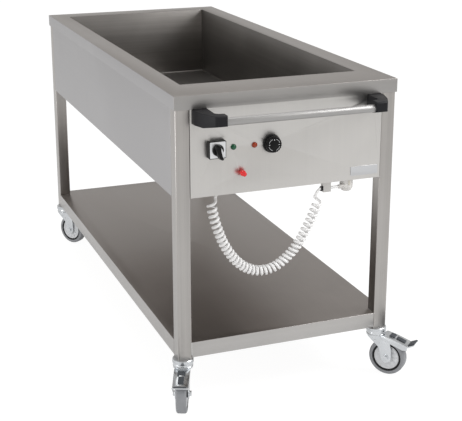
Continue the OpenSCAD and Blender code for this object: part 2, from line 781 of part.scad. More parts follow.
module thermostat_knob() {
    back_y = panel_y - knob_gap;
    skirt_h = 6;
    cap_d = knob_skirt_d - 4;
    color(BLACK) union() {
        rod_y(thermostat_x, control_z, back_y - skirt_h, back_y, knob_skirt_d);
        translate([thermostat_x, back_y - skirt_h, control_z]) rotate([90, 0, 0])
            cylinder(d1 = cap_d, d2 = cap_d - 2, h = knob_h - skirt_h - knob_gap);
        rod_y(thermostat_x, control_z, back_y - cut, panel_y + sheet_t + 18, thermostat_shaft_d);
    }
}

module drain_knob() {
    back_y = panel_y - knob_gap;
    stem_d = 13;
    stem_l = 10;
    wing_t = 11;
    wing_h = 9.5;
    lobe = drain_knob_w - wing_t;
    color([0.85, 0.08, 0.08]) union() {
        rod_y(drain_x, drain_z, back_y - stem_l, back_y, stem_d);
        translate([drain_x, back_y - stem_l, drain_z]) rotate([90, 40, 0])
            linear_extrude(wing_h) union() {
                square([lobe, wing_t], center = true);
                for (s = [-1, 1]) translate([s * lobe / 2, 0]) circle(d = wing_t);
            }
        rod_y(drain_x, drain_z, back_y - cut, valve_front_y + 14, drain_spindle_d);
    }
}

// Casters, drawn with the swivel axis upright through the origin and the axle towards +X

// Fixed upper part: block in the leg, race and king bolt with its nut
module caster_head() {
    block_w = leg_w - 2 * leg_t - 2 * sheet_fit;
    nut_z = crown_z - seat - king_nut_h;
    color(ZINC) union() {
        translate([0, 0, race_top_z - cut]) linear_extrude(plug_in_leg_h + cut)
            round_rect(block_w, block_w, leg_corner_r);
        translate([0, 0, race_top_z - race_cap_h]) cylinder(d1 = race_d, d2 = race_d, h = race_cap_h - 3);
        translate([0, 0, race_top_z - 3]) cylinder(d1 = race_d, d2 = race_d - 6, h = 3);
        translate([0, 0, nut_z]) cylinder(d = king_d, h = race_top_z - nut_z);
        translate([0, 0, nut_z]) cylinder(d = king_nut_d, h = king_nut_h, $fn = 6);
    }
}

// Outline of a fork's side in X and Z
module fork_side() {
    trail = caster_trail;
    boss_r = 16;
    union() {
        polygon([[-20, crown_z + crown_t], [28, crown_z + crown_t], [trail + 9, crown_z - 7],
            [trail + 15, axle_z + 28], [trail + boss_r, axle_z], [trail - boss_r, axle_z],
            [trail - 24, axle_z + 30], [-18, crown_z - 4]]);
        translate([trail, axle_z]) circle(r = boss_r);
    }
}

module caster_fork(braked) {
    color(ZINC) difference() {
        union() {
            translate([0, 0, crown_z]) cylinder(d = race_d - 4, h = crown_t);
            translate([-20, -fork_out, crown_z]) cube([48, 2 * fork_out, crown_t]);
            translate([0, 0, crown_z + crown_t])
                cylinder(d = fork_race_d, h = race_top_z - race_cap_h - swivel_gap - crown_z - crown_t);
            for (s = [0, 1]) mirror([0, s, 0]) slab_y(fork_gap / 2, fork_out) fork_side();
        }
        translate([0, 0, crown_z - cut])
            cylinder(d = king_d + 2 * running_gap, h = race_top_z - crown_z);
        rod_y(caster_trail, axle_z, -fork_out - cut, fork_out + cut, axle_d + 2 * running_gap);
        if (braked) rod_y(pedal_pin_x, pedal_pin_z, -fork_out - cut, fork_out + cut,
            pedal_pin_d + 2 * running_gap);
    }
}

// Axle bolt with its spacer sleeve, washers, head and nut
module caster_axle() {
    half = fork_out + washer_t;
    color(ZINC) translate([caster_trail, 0, axle_z]) union() {
        rod_y(0, 0, -half - bolt_head_h, half + bolt_head_h, axle_d);
        rod_y(0, 0, -fork_gap / 2, fork_gap / 2, sleeve_d);
        for (s = [0, 1]) mirror([0, s, 0]) {
            rod_y(0, 0, fork_out, half, washer_d);
            translate([0, half, 0]) rotate([-90, 0, 0])
                cylinder(d = bolt_head_d, h = bolt_head_h, $fn = 6);
        }
    }
}

// Wheel core and its side covers, turned about the axle
module caster_wheel() {
    bore_r = sleeve_d / 2 + running_gap;
    hub_r = 15;
    rim_r = axle_z - tyre_t;
    cover_r = rim_r - 5;
    hub_y = fork_gap / 2 - 0.6;
    rim_y = wheel_w / 2 - 2;
    color([0.78, 0.79, 0.79]) translate([caster_trail, 0, axle_z]) rotate([-90, 0, 0])
        rotate_extrude() polygon([[bore_r, -hub_y], [hub_r - 2, -hub_y], [hub_r, -hub_y + 2],
            [hub_r, 1.5 - rim_y], [cover_r - 3, 3 - rim_y], [cover_r, -rim_y], [rim_r, -rim_y],
            [rim_r, rim_y], [cover_r, rim_y], [cover_r - 3, rim_y - 3], [hub_r, rim_y - 1.5],
            [hub_r, hub_y - 2], [hub_r - 2, hub_y], [bore_r, hub_y]]);
}

module caster_tyre() {
    inner_r = axle_z - tyre_t + running_gap;
    half = wheel_w / 2;
    color([0.45, 0.45, 0.46]) translate([caster_trail, 0, axle_z]) rotate([-90, 0, 0])
        rotate_extrude() difference() {
            translate([inner_r, -half]) square([axle_z - inner_r, wheel_w]);
            for (s = [0, 1]) mirror([0, s]) polygon([[axle_z - tyre_shoulder, -half - cut],
                [axle_z - tyre_shoulder, -half], [axle_z - 0.3 * tyre_shoulder, 0.6 * tyre_shoulder - half],
                [axle_z, 1.2 * tyre_shoulder - half], [axle_z + cut, 1.2 * tyre_shoulder - half],
                [axle_z + cut, -half - cut]]);
        }
}

// Brake pedal: plate over the tyre with side flanges, a shoe below and grips on top
module caster_pedal() {
    z = crown_z;
    end_x = pedal_tip_x - 20;
    color([0.75, 0.77, 0.78]) union() {
        slab_y(-pedal_out, pedal_out) polygon([[30, z + 6], [60, z], [end_x, z - 14],
            [end_x, z - 16], [60, z - 2], [30, z + 4]]);
        for (s = [0, 1]) mirror([0, s, 0]) slab_y(pedal_in, pedal_out)
            polygon([[21.5, z - 8], [21.5, z], [30, z + 6], [60, z], [end_x, z - 14],
                [end_x, z - 26], [end_x - 14, z - 28], [60, z - 18], [34, z - 10]]);
        slab_y(-pedal_out, pedal_out) polygon([[end_x - 2, z - 13.4], [end_x - 2, z - 17],
            [end_x + 4, z - 17], [pedal_tip_x, z - 8], [pedal_tip_x, z - 5], [end_x + 3, z - 13]]);
        slab_y(-10, 10) polygon([[46, z + 2.8], [47, z + 7], [60, z + 4.5], [64, z - 1.3]]);
        slab_y(-6, 6) polygon([[58, z + 0.4], [59, z + 3], [92, z - 7.5], [94, z - 10.8]]);
        slab_y(-10, 10) polygon([[58, z - 5], [70, z - 5], [70, z - 4], [58, z - 1]]);
        rod_y(pedal_pin_x, pedal_pin_z, -pedal_out, pedal_out, pedal_pin_d);
    }
}

// Places a caster under the leg at the corner with the signs sx and sy, turned by turn
module at_leg(sx, sy, turn) {
    translate([sx * leg_x, sy * leg_y, 0]) rotate([0, 0, turn]) children();
}

// The block inside the leg keeps square to it while the rest of the head is round
module head_at(sx, sy) {
    translate([sx * leg_x, sy * leg_y, 0]) caster_head();
}

placed() worktop_rim();
placed() well_side_walls();
placed() well_end_walls();
placed() well_floor();
placed() side_panel();  // left_side_panel
placed() mirror([1, 0, 0]) side_panel();  // right_side_panel
placed() rear_panel();
placed() control_panel();
placed() base_tray();
placed() leg(-1, -1);  // leg_front_left
placed() leg(1, -1);  // leg_front_right
placed() leg(-1, 1);  // leg_rear_left
placed() leg(1, 1);  // leg_rear_right
placed() undershelf();
placed() heating_element();
placed() thermostat_body();
placed() switch_base();
placed() switch_plate();
placed() switch_body();
placed() lamp(green_lamp_x, [0.05, 0.35, 0.20]);  // green_lamp
placed() lamp(amber_lamp_x, [0.65, 0.25, 0.12]);  // amber_lamp
placed() drain_valve();
placed() drain_pipes();
placed() nameplate_blank();
placed() park_bracket();
placed() park_grommet();
placed() cord_gland();
placed() curly_cord();
placed() cord_tail();
placed() plug_body();
placed() plug_pins();
placed() mirror([1, 0, 0]) handle_bracket();  // handle_bracket_left
placed() handle_bracket();  // handle_bracket_right
placed() push_bar();
placed() handle_screws();
placed() switch_knob();
placed() thermostat_knob();
placed() drain_knob();
placed() head_at(-1, -1);  // caster_front_left_head
placed() at_leg(-1, -1, front_left_turn) caster_fork(true);  // caster_front_left_fork
placed() at_leg(-1, -1, front_left_turn) caster_axle();  // caster_front_left_axle
placed() at_leg(-1, -1, front_left_turn) caster_wheel();  // caster_front_left_wheel
placed() at_leg(-1, -1, front_left_turn) caster_tyre();  // caster_front_left_tyre
placed() at_leg(-1, -1, front_left_turn) caster_pedal();  // caster_front_left_pedal
placed() head_at(1, -1);  // caster_front_right_head
placed() at_leg(1, -1, front_right_turn) caster_fork(true);  // caster_front_right_fork
placed() at_leg(1, -1, front_right_turn) caster_axle();  // caster_front_right_axle
placed() at_leg(1, -1, front_right_turn) caster_wheel();  // caster_front_right_wheel
placed() at_leg(1, -1, front_right_turn) caster_tyre();  // caster_front_right_tyre
placed() at_leg(1, -1, front_right_turn) caster_pedal();  // caster_front_right_pedal
placed() head_at(-1, 1);  // caster_rear_left_head
placed() at_leg(-1, 1, rear_left_turn) caster_fork(false);  // caster_rear_left_fork
placed() at_leg(-1, 1, rear_left_turn) caster_axle();  // caster_rear_left_axle
placed() at_leg(-1, 1, rear_left_turn) caster_wheel();  // caster_rear_left_wheel
placed() at_leg(-1, 1, rear_left_turn) caster_tyre();  // caster_rear_left_tyre
placed() head_at(1, 1);  // caster_rear_right_head
placed() at_leg(1, 1, rear_right_turn) caster_fork(false);  // caster_rear_right_fork
placed() at_leg(1, 1, rear_right_turn) caster_axle();  // caster_rear_right_axle
placed() at_leg(1, 1, rear_right_turn) caster_wheel();  // caster_rear_right_wheel
placed() at_leg(1, 1, rear_right_turn) caster_tyre();  // caster_rear_right_tyre
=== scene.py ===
"""Looks of a mobile heated well trolley, built round its packed construction.

Lengths in the classes are millimetres, measured from the middle of the worktop on the floor,
with +X to the right as seen from the control end, +Y away from it and +Z up. Finished pieces
are in metres in the frame's own axes.
"""

import json
import logging
import math
from dataclasses import dataclass
from enum import Enum

import bmesh
import bpy
from mathutils import Matrix, Vector

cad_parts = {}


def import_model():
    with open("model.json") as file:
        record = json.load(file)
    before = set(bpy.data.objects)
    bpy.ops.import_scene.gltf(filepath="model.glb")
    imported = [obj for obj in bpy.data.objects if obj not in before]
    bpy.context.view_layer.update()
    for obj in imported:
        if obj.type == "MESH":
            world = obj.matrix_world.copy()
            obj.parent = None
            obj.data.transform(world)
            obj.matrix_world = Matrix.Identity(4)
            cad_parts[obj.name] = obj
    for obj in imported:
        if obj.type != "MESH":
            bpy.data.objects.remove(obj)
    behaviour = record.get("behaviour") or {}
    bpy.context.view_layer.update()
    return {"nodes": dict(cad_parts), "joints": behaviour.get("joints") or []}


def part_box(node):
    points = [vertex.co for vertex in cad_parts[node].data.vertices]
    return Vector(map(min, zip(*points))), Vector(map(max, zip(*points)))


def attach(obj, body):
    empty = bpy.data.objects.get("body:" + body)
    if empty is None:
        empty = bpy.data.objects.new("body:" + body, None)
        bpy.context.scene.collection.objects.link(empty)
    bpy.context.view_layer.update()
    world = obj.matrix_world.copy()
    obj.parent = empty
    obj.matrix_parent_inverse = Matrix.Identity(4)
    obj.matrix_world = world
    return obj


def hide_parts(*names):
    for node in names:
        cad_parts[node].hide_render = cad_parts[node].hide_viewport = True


LOG = logging.getLogger("trolley")
MM = 0.001
TRUNK = "trolley_body"
CORNERS = ("front_left", "front_right", "rear_left", "rear_right")
QUARTER = math.pi / 2
UPRIGHT = Matrix.Identity(4)
# Turns a shape drawn with +Z outwards so that it faces the control end, +Y up
FACE_FRONT = Matrix(((1, 0, 0, 0), (0, 0, -1, 0), (0, 1, 0, 0), (0, 0, 0, 1)))

Outline = list[tuple[float, float]]
Triple = tuple[float, float, float]
BMesh = bmesh.types.BMesh
Socket = bpy.types.NodeSocket
Tree = bpy.types.NodeTree


class Grain(Enum):
    """Direction of a sheet's brushing, as the stretch of its noise along X, Y and Z."""

    ACROSS = (2.5, 420.0, 420.0)
    ALONG = (420.0, 2.5, 420.0)
    UPRIGHT = (420.0, 420.0, 2.5)
    ROUND = (90.0, 90.0, 90.0)


def linear(shade: Triple) -> tuple[float, float, float, float]:
    """Turns a shade seen on a screen, from 0 to 255, into a linear colour.

    Args:
        shade: red, green and blue as they render.

    Returns:
        The linear colour with an alpha of 1.
    """
    parts = [v / 255.0 for v in shade]
    low_end = 0.04045
    made = [v / 12.92 if v <= low_end else ((v + 0.055) / 1.055) ** 2.4 for v in parts]
    return (made[0], made[1], made[2], 1.0)


# ---------------------------------------------------------------- nodes and shared groups


def fresh_tree(owner: bpy.types.Material | bpy.types.World) -> Tree:
    """Returns the emptied node tree of a material or a world."""
    owner.use_nodes = True
    owner.node_tree.nodes.clear()
    return owner.node_tree


def add_node(tree: Tree, kind: str, inputs: dict[str | int, object] | None = None,
             **settings: object) -> bpy.types.Node:
    """Adds a shader node, sets its properties and fills its inputs.

    Args:
        tree: node tree to add to.
        kind: type of the node, without its ShaderNode prefix.
        inputs: sockets to link or values to set, by the input's name or number.
        settings: the node's own properties.

    Returns:
        The new node.
    """
    node = tree.nodes.new(f"ShaderNode{kind}")
    for label, value in settings.items():
        setattr(node, label, value)
    for slot, value in (inputs or {}).items():
        if isinstance(value, Socket):
            tree.links.new(value, node.inputs[slot])
        else:
            node.inputs[slot].default_value = value
    return node


def noise(tree: Tree, vector: Socket, scale: object, detail: float,
          roughness: float = 0.5) -> Socket:
    """Adds a noise texture on some coordinates and returns its value, from 0 to 1."""
    return add_node(tree, "TexNoise", {"Vector": vector, "Scale": scale, "Detail": detail,
                                       "Roughness": roughness}).outputs["Fac"]


def calc(tree: Tree, operation: str, *inputs: object) -> Socket:
    """Adds a Math node, whose inputs are sockets or numbers, and returns its result."""
    return add_node(tree, "Math", dict(enumerate(inputs)), operation=operation).outputs[0]


def sway(tree: Tree, pattern: Socket, reach: object, base: object) -> Socket:
    """Lets a value sway round its base by its reach, as a noise pattern goes from 0 to 1."""
    return calc(tree, "MULTIPLY_ADD", calc(tree, "SUBTRACT", pattern, 0.5), reach, base)


def scaled(tree: Tree, vector: Socket, scale: object) -> Socket:
    """Scales a vector or a colour by a socket or a number."""
    return add_node(tree, "VectorMath", {0: vector, "Scale": scale}, operation="SCALE").outputs[0]


def open_group(name: str, inputs: dict[str, str]) -> tuple[Tree, bpy.types.NodeOutputs]:
    """Makes a shader node group that puts out a colour, a roughness and a height.

    Args:
        name: name of the group.
        inputs: input names with the kind of their sockets.

    Returns:
        The group and the sockets that hold its inputs.
    """
    tree = bpy.data.node_groups.new(name, "ShaderNodeTree")
    outputs = {"Color": "Color", "Roughness": "Float", "Height": "Float"}
    for way, sockets in (("INPUT", inputs), ("OUTPUT", outputs)):
        for label, kind in sockets.items():
            tree.interface.new_socket(label, in_out=way, socket_type=f"NodeSocket{kind}")
    return tree, tree.nodes.new("NodeGroupInput").outputs


def close_group(tree: Tree, **results: Socket) -> Tree:
    """Links a group's results.

    Args:
        tree: the group.
        results: the results, by the names of the group's outputs.

    Returns:
        The group.
    """
    target = tree.nodes.new("NodeGroupOutput")
    for label, socket in results.items():
        tree.links.new(socket, target.inputs[label])
    return tree


def brushed_group() -> Tree:
    """Makes the group for rolled and brushed sheet: fine streaks, smears and soft clouds.

    Returns:
        The group, made once.
    """
    known = bpy.data.node_groups.get("brushed_sheet")
    if known:
        return known
    tree, given = open_group("brushed_sheet", {
        "Vector": "Vector", "Stretch": "Vector", "Tone": "Color", "Streaks": "Float",
        "Clouds": "Float", "Roughness": "Float"})
    smear_scale, smear_share, cloud_scale = 0.16, 0.55, 4.5
    rough_clouds, rough_streaks = 0.16, 0.12
    stretched = add_node(tree, "VectorMath", {0: given["Vector"], 1: given["Stretch"]},
                         operation="MULTIPLY").outputs[0]
    fine = noise(tree, stretched, 1.0, 3.0, 0.6)
    smear = noise(tree, scaled(tree, stretched, smear_scale), 1.0, 2.0)
    cloud = noise(tree, given["Vector"], cloud_scale, 3.0, 0.55)
    streak = calc(tree, "MULTIPLY_ADD", smear, smear_share,
                  calc(tree, "MULTIPLY", fine, 1 - smear_share))
    gain = sway(tree, streak, given["Streaks"], sway(tree, cloud, given["Clouds"], 1.0))
    rough = sway(tree, cloud, rough_clouds, sway(tree, streak, rough_streaks, given["Roughness"]))
    return close_group(tree, Color=scaled(tree, given["Tone"], gain), Roughness=rough, Height=fine)


def moulded_group() -> Tree:
    """Makes the group for plastic, rubber, paint and plating: a faint mottle and grain.

    Returns:
        The group, made once.
    """
    known = bpy.data.node_groups.get("moulded_skin")
    if known:
        return known
    tree, given = open_group("moulded_skin", {
        "Vector": "Vector", "Tone": "Color", "Mottle": "Float", "Scale": "Float",
        "Roughness": "Float"})
    blotch_scale, grain_share, rough_blotches = 22.0, 0.5, 0.2
    grain = noise(tree, given["Vector"], given["Scale"], 3.0)
    blotch = noise(tree, given["Vector"], blotch_scale, 2.0)
    mottle = sway(tree, grain, grain_share, calc(tree, "SUBTRACT", blotch, 0.5))
    gain = calc(tree, "MULTIPLY_ADD", mottle, given["Mottle"], 1.0)
    rough = sway(tree, blotch, rough_blotches, given["Roughness"])
    return close_group(tree, Color=scaled(tree, given["Tone"], gain), Roughness=rough,
                       Height=grain)


# ---------------------------------------------------------------- finishes


@dataclass(frozen=True)
class Finish:
    """What every finish has.

    Args:
        name: name of the material.
        slot: the record's material slot.
        shade: shade as it renders in plain light, 0 to 255.
        roughness: roughness of the reflection.
    """

    name: str
    slot: str
    shade: Triple
    roughness: float

    def made_of(self, group: Tree, values: dict[str, object], surface: dict[str, float],
                bump: float, depth: float) -> bpy.types.Material:
        """Makes the material from a shared group, or returns the one made before.

        Args:
            group: the shared group, with Color, Roughness and Height outputs.
            values: values of the group's own inputs.
            surface: values of the shader's inputs.
            bump: strength of the relief.
            depth: depth of the relief in metres.

        Returns:
            The material.
        """
        known = bpy.data.materials.get(self.name)
        if known:
            return known
        made = bpy.data.materials.new(self.name)
        tree = fresh_tree(made)
        look = add_node(tree, "Group", {
            "Vector": add_node(tree, "TexCoord").outputs["Object"], "Tone": linear(self.shade),
            "Roughness": self.roughness, **values}, node_tree=group).outputs
        relief = add_node(tree, "Bump", {"Strength": bump, "Distance": depth,
                                         "Height": look["Height"]})
        shader = add_node(tree, "BsdfPrincipled", {
            "Base Color": look["Color"], "Roughness": look["Roughness"],
            "Normal": relief.outputs["Normal"], **surface})
        add_node(tree, "OutputMaterial", {0: shader.outputs[0]})
        return made


@dataclass(frozen=True)
class SteelFinish(Finish):
    """Brushed or rolled sheet steel.

    Args:
        grain: direction of the brushing.
        streaks: strength of the streaks in the colour.
        clouds: strength of the soft clouds in the colour.
        bump: strength of the brushing's relief.
    """

    grain: Grain
    streaks: float = 0.25
    clouds: float = 0.12
    bump: float = 0.12

    def material(self) -> bpy.types.Material:
        """Returns the material, made once."""
        return self.made_of(brushed_group(), {"Stretch": self.grain.value, "Streaks": self.streaks,
                                              "Clouds": self.clouds}, {"Metallic": 1.0},
                            self.bump, 0.0004)


@dataclass(frozen=True)
class MouldedFinish(Finish):
    """Plastic, rubber, plating or paint with a faint mottle.

    Args:
        metallic: 1 for bare metal and plating.
        mottle: strength of the mottle in the colour.
        scale: scale of the fine grain.
        bump: strength of the grain's relief.
        coat: weight of a clear top layer.
        gloss: level of the bare surface's reflection, 0.5 for plain plastic.
    """

    metallic: float = 0.0
    mottle: float = 0.12
    scale: float = 900.0
    bump: float = 0.15
    coat: float = 0.0
    gloss: float = 0.5

    def material(self) -> bpy.types.Material:
        """Returns the material, made once."""
        return self.made_of(moulded_group(), {"Mottle": self.mottle, "Scale": self.scale},
                            {"Metallic": self.metallic, "Coat Weight": self.coat,
                             "Specular IOR Level": self.gloss}, self.bump, 0.0003)


WORKTOP_STEEL = SteelFinish("worktop_steel", "brushed_steel_worktop", (160, 155, 151), 0.36,
                            Grain.ALONG, 0.16, 0.14)
# Painted shade: a copy of the worktop steel, toned for how the light falls on its faces towards
# the front
APRON_PAINTED_SHADE_STEEL = SteelFinish("apron_painted_shade_steel", "brushed_steel_worktop", (166, 164, 162), 0.38,
                          Grain.ACROSS, 0.14, 0.12)
# Painted shade: sheet steel toned darker for faces looking sideways, on the side panels and the
# worktop's left faces
SIDE_PAINTED_SHADE_STEEL = SteelFinish("side_painted_shade_steel", "brushed_steel_sheet", (178, 177, 178), 0.42, Grain.ALONG,
                         0.05, 0.05)
PANEL_STEEL = SteelFinish("panel_steel", "brushed_steel_sheet", (203, 201, 198), 0.36,
                          Grain.UPRIGHT, 0.10, 0.20)
LEG_STEEL = SteelFinish("leg_steel", "brushed_steel_sheet", (180, 177, 174), 0.32, Grain.UPRIGHT,
                        0.55, 0.20)
SHELF_STEEL = SteelFinish("shelf_steel", "dull_steel_well", (160, 154, 150), 0.36, Grain.ALONG,
                          0.16, 0.30)
# Painted light: a lighter copy of the shelf steel for the shelf's upright lips, where light falls
# on them
LIP_PAINTED_LIGHT_STEEL = SteelFinish("shelf_lip_painted_light_steel", "dull_steel_well", (186, 184, 182), 0.36, Grain.ACROSS,
                        0.16, 0.24)
WELL_STEEL = SteelFinish("well_steel", "dull_steel_well", (146, 143, 140), 0.40, Grain.ALONG,
                         0.50, 0.40)
WELL_END_STEEL = SteelFinish("well_end_steel", "dull_steel_well", (140, 137, 134), 0.40,
                             Grain.ACROSS, 0.50, 0.40)
BAR_STEEL = SteelFinish("bar_steel", "brushed_steel_sheet", (172, 171, 170), 0.50, Grain.ACROSS,
                        0.06, 0.08, 0.0)
FITTING_STEEL = SteelFinish("fitting_steel", "brushed_steel_sheet", (196, 194, 191), 0.34,
                            Grain.UPRIGHT, 0.12, 0.10)
HEATER_STEEL = SteelFinish("heater_steel", "heater_sheath", (96, 92, 89), 0.45, Grain.ROUND,
                           0.30, 0.40)
ZINC = MouldedFinish("bright_zinc", "zinc_plate", (214, 217, 220), 0.24, 1.0, 0.22, 260.0, 0.10)
ALUMINIUM = MouldedFinish("satin_aluminium_skin", "satin_aluminium", (176, 178, 183), 0.36, 1.0,
                          0.05, 700.0, 0.05)
SWITCH_METAL = MouldedFinish("switch_plate_skin", "satin_aluminium", (228, 229, 231), 0.42, 1.0,
                             0.05, 700.0, 0.05)
FRAME_METAL = MouldedFinish("plate_frame", "satin_aluminium", (205, 206, 208), 0.30, 1.0, 0.05,
                            700.0, 0.05)
BRASS = MouldedFinish("plain_brass", "brass_valve", (205, 170, 105), 0.35, 1.0, 0.20, 300.0)
PIN_METAL = MouldedFinish("pin_metal", "nickel_pins", (205, 200, 190), 0.22, 1.0, 0.10, 300.0)
GRIP_BLACK = MouldedFinish("grip_black", "black_plastic", (22, 22, 26), 0.50, 0.0, 0.20, 1500.0,
                           0.30, 0.0, 0.25)
KNOB_BLACK = MouldedFinish("knob_black", "black_plastic", (10, 10, 12), 0.32, 0.0, 0.10, 900.0,
                           0.10, 0.0, 0.2)
BAKED_CREAM = MouldedFinish("baked_cream", "moulded_plastic", (205, 196, 172), 0.5)
LEAD_WHITE = MouldedFinish("lead_white", "white_plastic", (250, 250, 250), 0.33, 0.0, 0.03, 500.0,
                           0.08, 0.15)
PLUG_WHITE = MouldedFinish("plug_white", "white_plastic", (222, 220, 217), 0.36, 0.0, 0.06, 600.0,
                           0.12, 0.1)
# White for the dial's printed marks and for the painted highlight on the switch knob
PRINT_AND_HIGHLIGHT_WHITE = MouldedFinish("print_and_highlight_white", "black_plastic", (225, 226, 228), 0.45)
DRAIN_RED = MouldedFinish("drain_red", "red_plastic", (232, 28, 30), 0.28, 0.0, 0.10, 500.0, 0.06,
                          0.3)
LENS_GREEN = MouldedFinish("lens_green", "green_lens", (20, 92, 60), 0.20, 0.0, 0.20, 300.0,
                           0.05, 0.2, 0.35)
LENS_AMBER = MouldedFinish("lens_amber", "amber_lens", (158, 58, 26), 0.20, 0.0, 0.20, 300.0,
                           0.05, 0.2, 0.35)
WHEEL_GREY = MouldedFinish("wheel_grey", "grey_plastic", (220, 222, 225), 0.34, 0.0, 0.08, 500.0,
                           0.10, 0.1)
RIM_BLACK = MouldedFinish("rim_black", "grey_plastic", (20, 21, 23), 0.40, gloss=0.3)
TYRE_GREY = MouldedFinish("tyre_grey", "grey_tyre", (150, 152, 156), 0.62, 0.0, 0.16, 700.0, 0.35)
RUBBER = MouldedFinish("pad_rubber", "black_rubber", (66, 70, 75), 0.66, 0.0, 0.20, 900.0, 0.3)
SEAL_BLACK = MouldedFinish("seal_black", "black_rubber", (24, 24, 26), 0.55, 0.0, 0.15, 900.0)

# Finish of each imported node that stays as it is
KEPT_NODES = {
    "heating_element": HEATER_STEEL, "thermostat_body": BAKED_CREAM, "switch_body": KNOB_BLACK,
    "drain_valve": BRASS, "drain_pipes": FITTING_STEEL, "handle_screws": ZINC,
    "plug_pins": PIN_METAL,
}


# ---------------------------------------------------------------- mesh helpers


@dataclass
class Assembly:
    """A sub-assembly, whose lengths are the trolley's own millimetres.

    Args:
        middle: place in the frame of the trolley's middle on the floor, in metres.
    """

    middle: Vector

    def at(self, x: float, y: float, z: float) -> Vector:
        """Returns the place of a point in the frame, in metres."""
        return self.middle + Vector((x, y, z)) * MM

    def matrix(self, x: float, y: float, z: float, turn: Matrix = UPRIGHT) -> Matrix:
        """Returns the transform into the frame of a mesh that is turned, then set at a point."""
        return Matrix.Translation(self.at(x, y, z)) @ Matrix.Scale(MM, 4) @ turn

    def local(self, node: str) -> tuple[Vector, Vector]:
        """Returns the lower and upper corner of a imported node's box."""
        low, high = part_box(node)
        return (low - self.middle) / MM, (high - self.middle) / MM

    def centre(self, node: str) -> Triple:
        """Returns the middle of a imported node's box."""
        low, high = self.local(node)
        return tuple((a + b) / 2 for a, b in zip(low, high))


def spin_profile(profile: Outline, steps: int) -> BMesh:
    """Turns a profile about Z into a closed shape.

    Args:
        profile: points as radius and height, from one end to the other.
        steps: number of steps round.

    Returns:
        A new mesh.
    """
    bm = bmesh.new()
    verts = [bm.verts.new((r, 0.0, h)) for r, h in profile]
    edges = [bm.edges.new(pair) for pair in zip(verts, verts[1:])]
    bmesh.ops.spin(bm, geom=verts + edges, cent=(0, 0, 0), axis=(0, 0, 1), dvec=(0, 0, 0),
                   angle=math.tau, steps=steps, use_merge=True, use_duplicate=False)
    bmesh.ops.remove_doubles(bm, verts=bm.verts, dist=0.001)
    bmesh.ops.recalc_face_normals(bm, faces=bm.faces)
    return bm


def turn_about(bm: BMesh, verts: list[bmesh.types.BMVert], angle: float, axis: str = "Z") -> None:
    """Turns some of a mesh about an axis through its origin, by an angle in radians."""
    bmesh.ops.rotate(bm, verts=verts, cent=(0, 0, 0), matrix=Matrix.Rotation(angle, 3, axis))


def extrude_outline(outline: Outline, low: float, high: float, bm: BMesh | None = None,
                    angle: float = 0.0) -> BMesh:
    """Raises an outline in X and Y into a closed slab.

    Args:
        outline: corners of the outline.
        low: height of the lower face.
        high: height of the upper face.
        bm: mesh to add the slab to, a new one if left out.
        angle: turn of the slab about Z in radians.

    Returns:
        The mesh.
    """
    bm = bmesh.new() if bm is None else bm
    base = bm.faces.new([bm.verts.new((x, y, low)) for x, y in outline])
    raised = bmesh.ops.extrude_face_region(bm, geom=[base])["geom"]
    lifted = [v for v in raised if isinstance(v, bmesh.types.BMVert)]
    bmesh.ops.translate(bm, verts=lifted, vec=(0, 0, high - low))
    verts = lifted + list(base.verts)
    bmesh.ops.recalc_face_normals(bm, faces=list({f for v in verts for f in v.link_faces}))
    turn_about(bm, verts, angle)
    return bm


def round_edges(bm: BMesh, width: float, segments: int, angle: float = 35.0) -> None:
    """Rounds every edge that is sharper than an angle.

    Args:
        bm: mesh to change.
        width: width of the rounding.
        segments: number of faces across it.
        angle: least angle between the faces, in degrees.
    """
    limit = math.radians(angle)
    sharp = [e for e in bm.edges if len(e.link_faces) == 2 and e.calc_face_angle(0.0) > limit]
    if sharp:
        bmesh.ops.bevel(bm, geom=sharp, offset=width, offset_type="OFFSET", affect="EDGES",
                        segments=segments, profile=0.5, material=-1, clamp_overlap=True)


def add_object(name: str, data: bpy.types.ID | BMesh) -> bpy.types.Object:
    """Puts an object into the scene.

    Args:
        name: name of the object.
        data: its data, or a mesh under construction, which is freed here.

    Returns:
        The new object.
    """
    if isinstance(data, BMesh):
        mesh = bpy.data.meshes.new(name)
        data.to_mesh(mesh)
        data.free()
        data = mesh
    made = bpy.data.objects.new(name, data)
    bpy.context.scene.collection.objects.link(made)
    return made


def piece(bm: BMesh, name: str, finish: Finish, place: Matrix = UPRIGHT, body: str = TRUNK,
          nodes: tuple[str, ...] = (), sharp: float = 32.0) -> bpy.types.Object:
    """Turns a mesh into a finished piece that rides on a body.

    Args:
        bm: the mesh, freed here.
        name: name of the piece.
        finish: its finish.
        place: transform from the mesh to the frame.
        body: the body it rides on.
        nodes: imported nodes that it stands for.
        sharp: angle in degrees past which an edge stays sharp.

    Returns:
        The new object.
    """
    bmesh.ops.transform(bm, matrix=place, verts=bm.verts)
    if place.determinant() < 0:
        bmesh.ops.reverse_faces(bm, faces=bm.faces)
    made = add_object(name, bm)
    made.data.set_sharp_from_angle(angle=math.radians(sharp))
    made.data.materials.append(finish.material())
    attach(made, body)
    if nodes:
        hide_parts(*nodes)
    LOG.info("%s: %d faces on %s", name, len(made.data.polygons), body)
    return made


def dress(node: str, finish: Finish, width: float = 0.5, segments: int = 2,
          body: str = TRUNK) -> bpy.types.Object:
    """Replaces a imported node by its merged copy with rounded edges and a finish.

    Args:
        node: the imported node.
        finish: the finish of the copy.
        width: width of the rounding in millimetres.
        segments: number of faces across the rounding.
        body: the body that the node rides on.

    Returns:
        The new object.
    """
    same_place, same_plane = 2e-6, math.radians(0.5)
    bm = bmesh.new()
    bm.from_mesh(bpy.data.objects[node].data)
    bmesh.ops.remove_doubles(bm, verts=bm.verts, dist=same_place)
    bmesh.ops.dissolve_limit(bm, angle_limit=same_plane, verts=bm.verts, edges=bm.edges)
    round_edges(bm, width * MM, segments)
    return piece(bm, f"{node}_skin", finish, body=body, nodes=(node,))


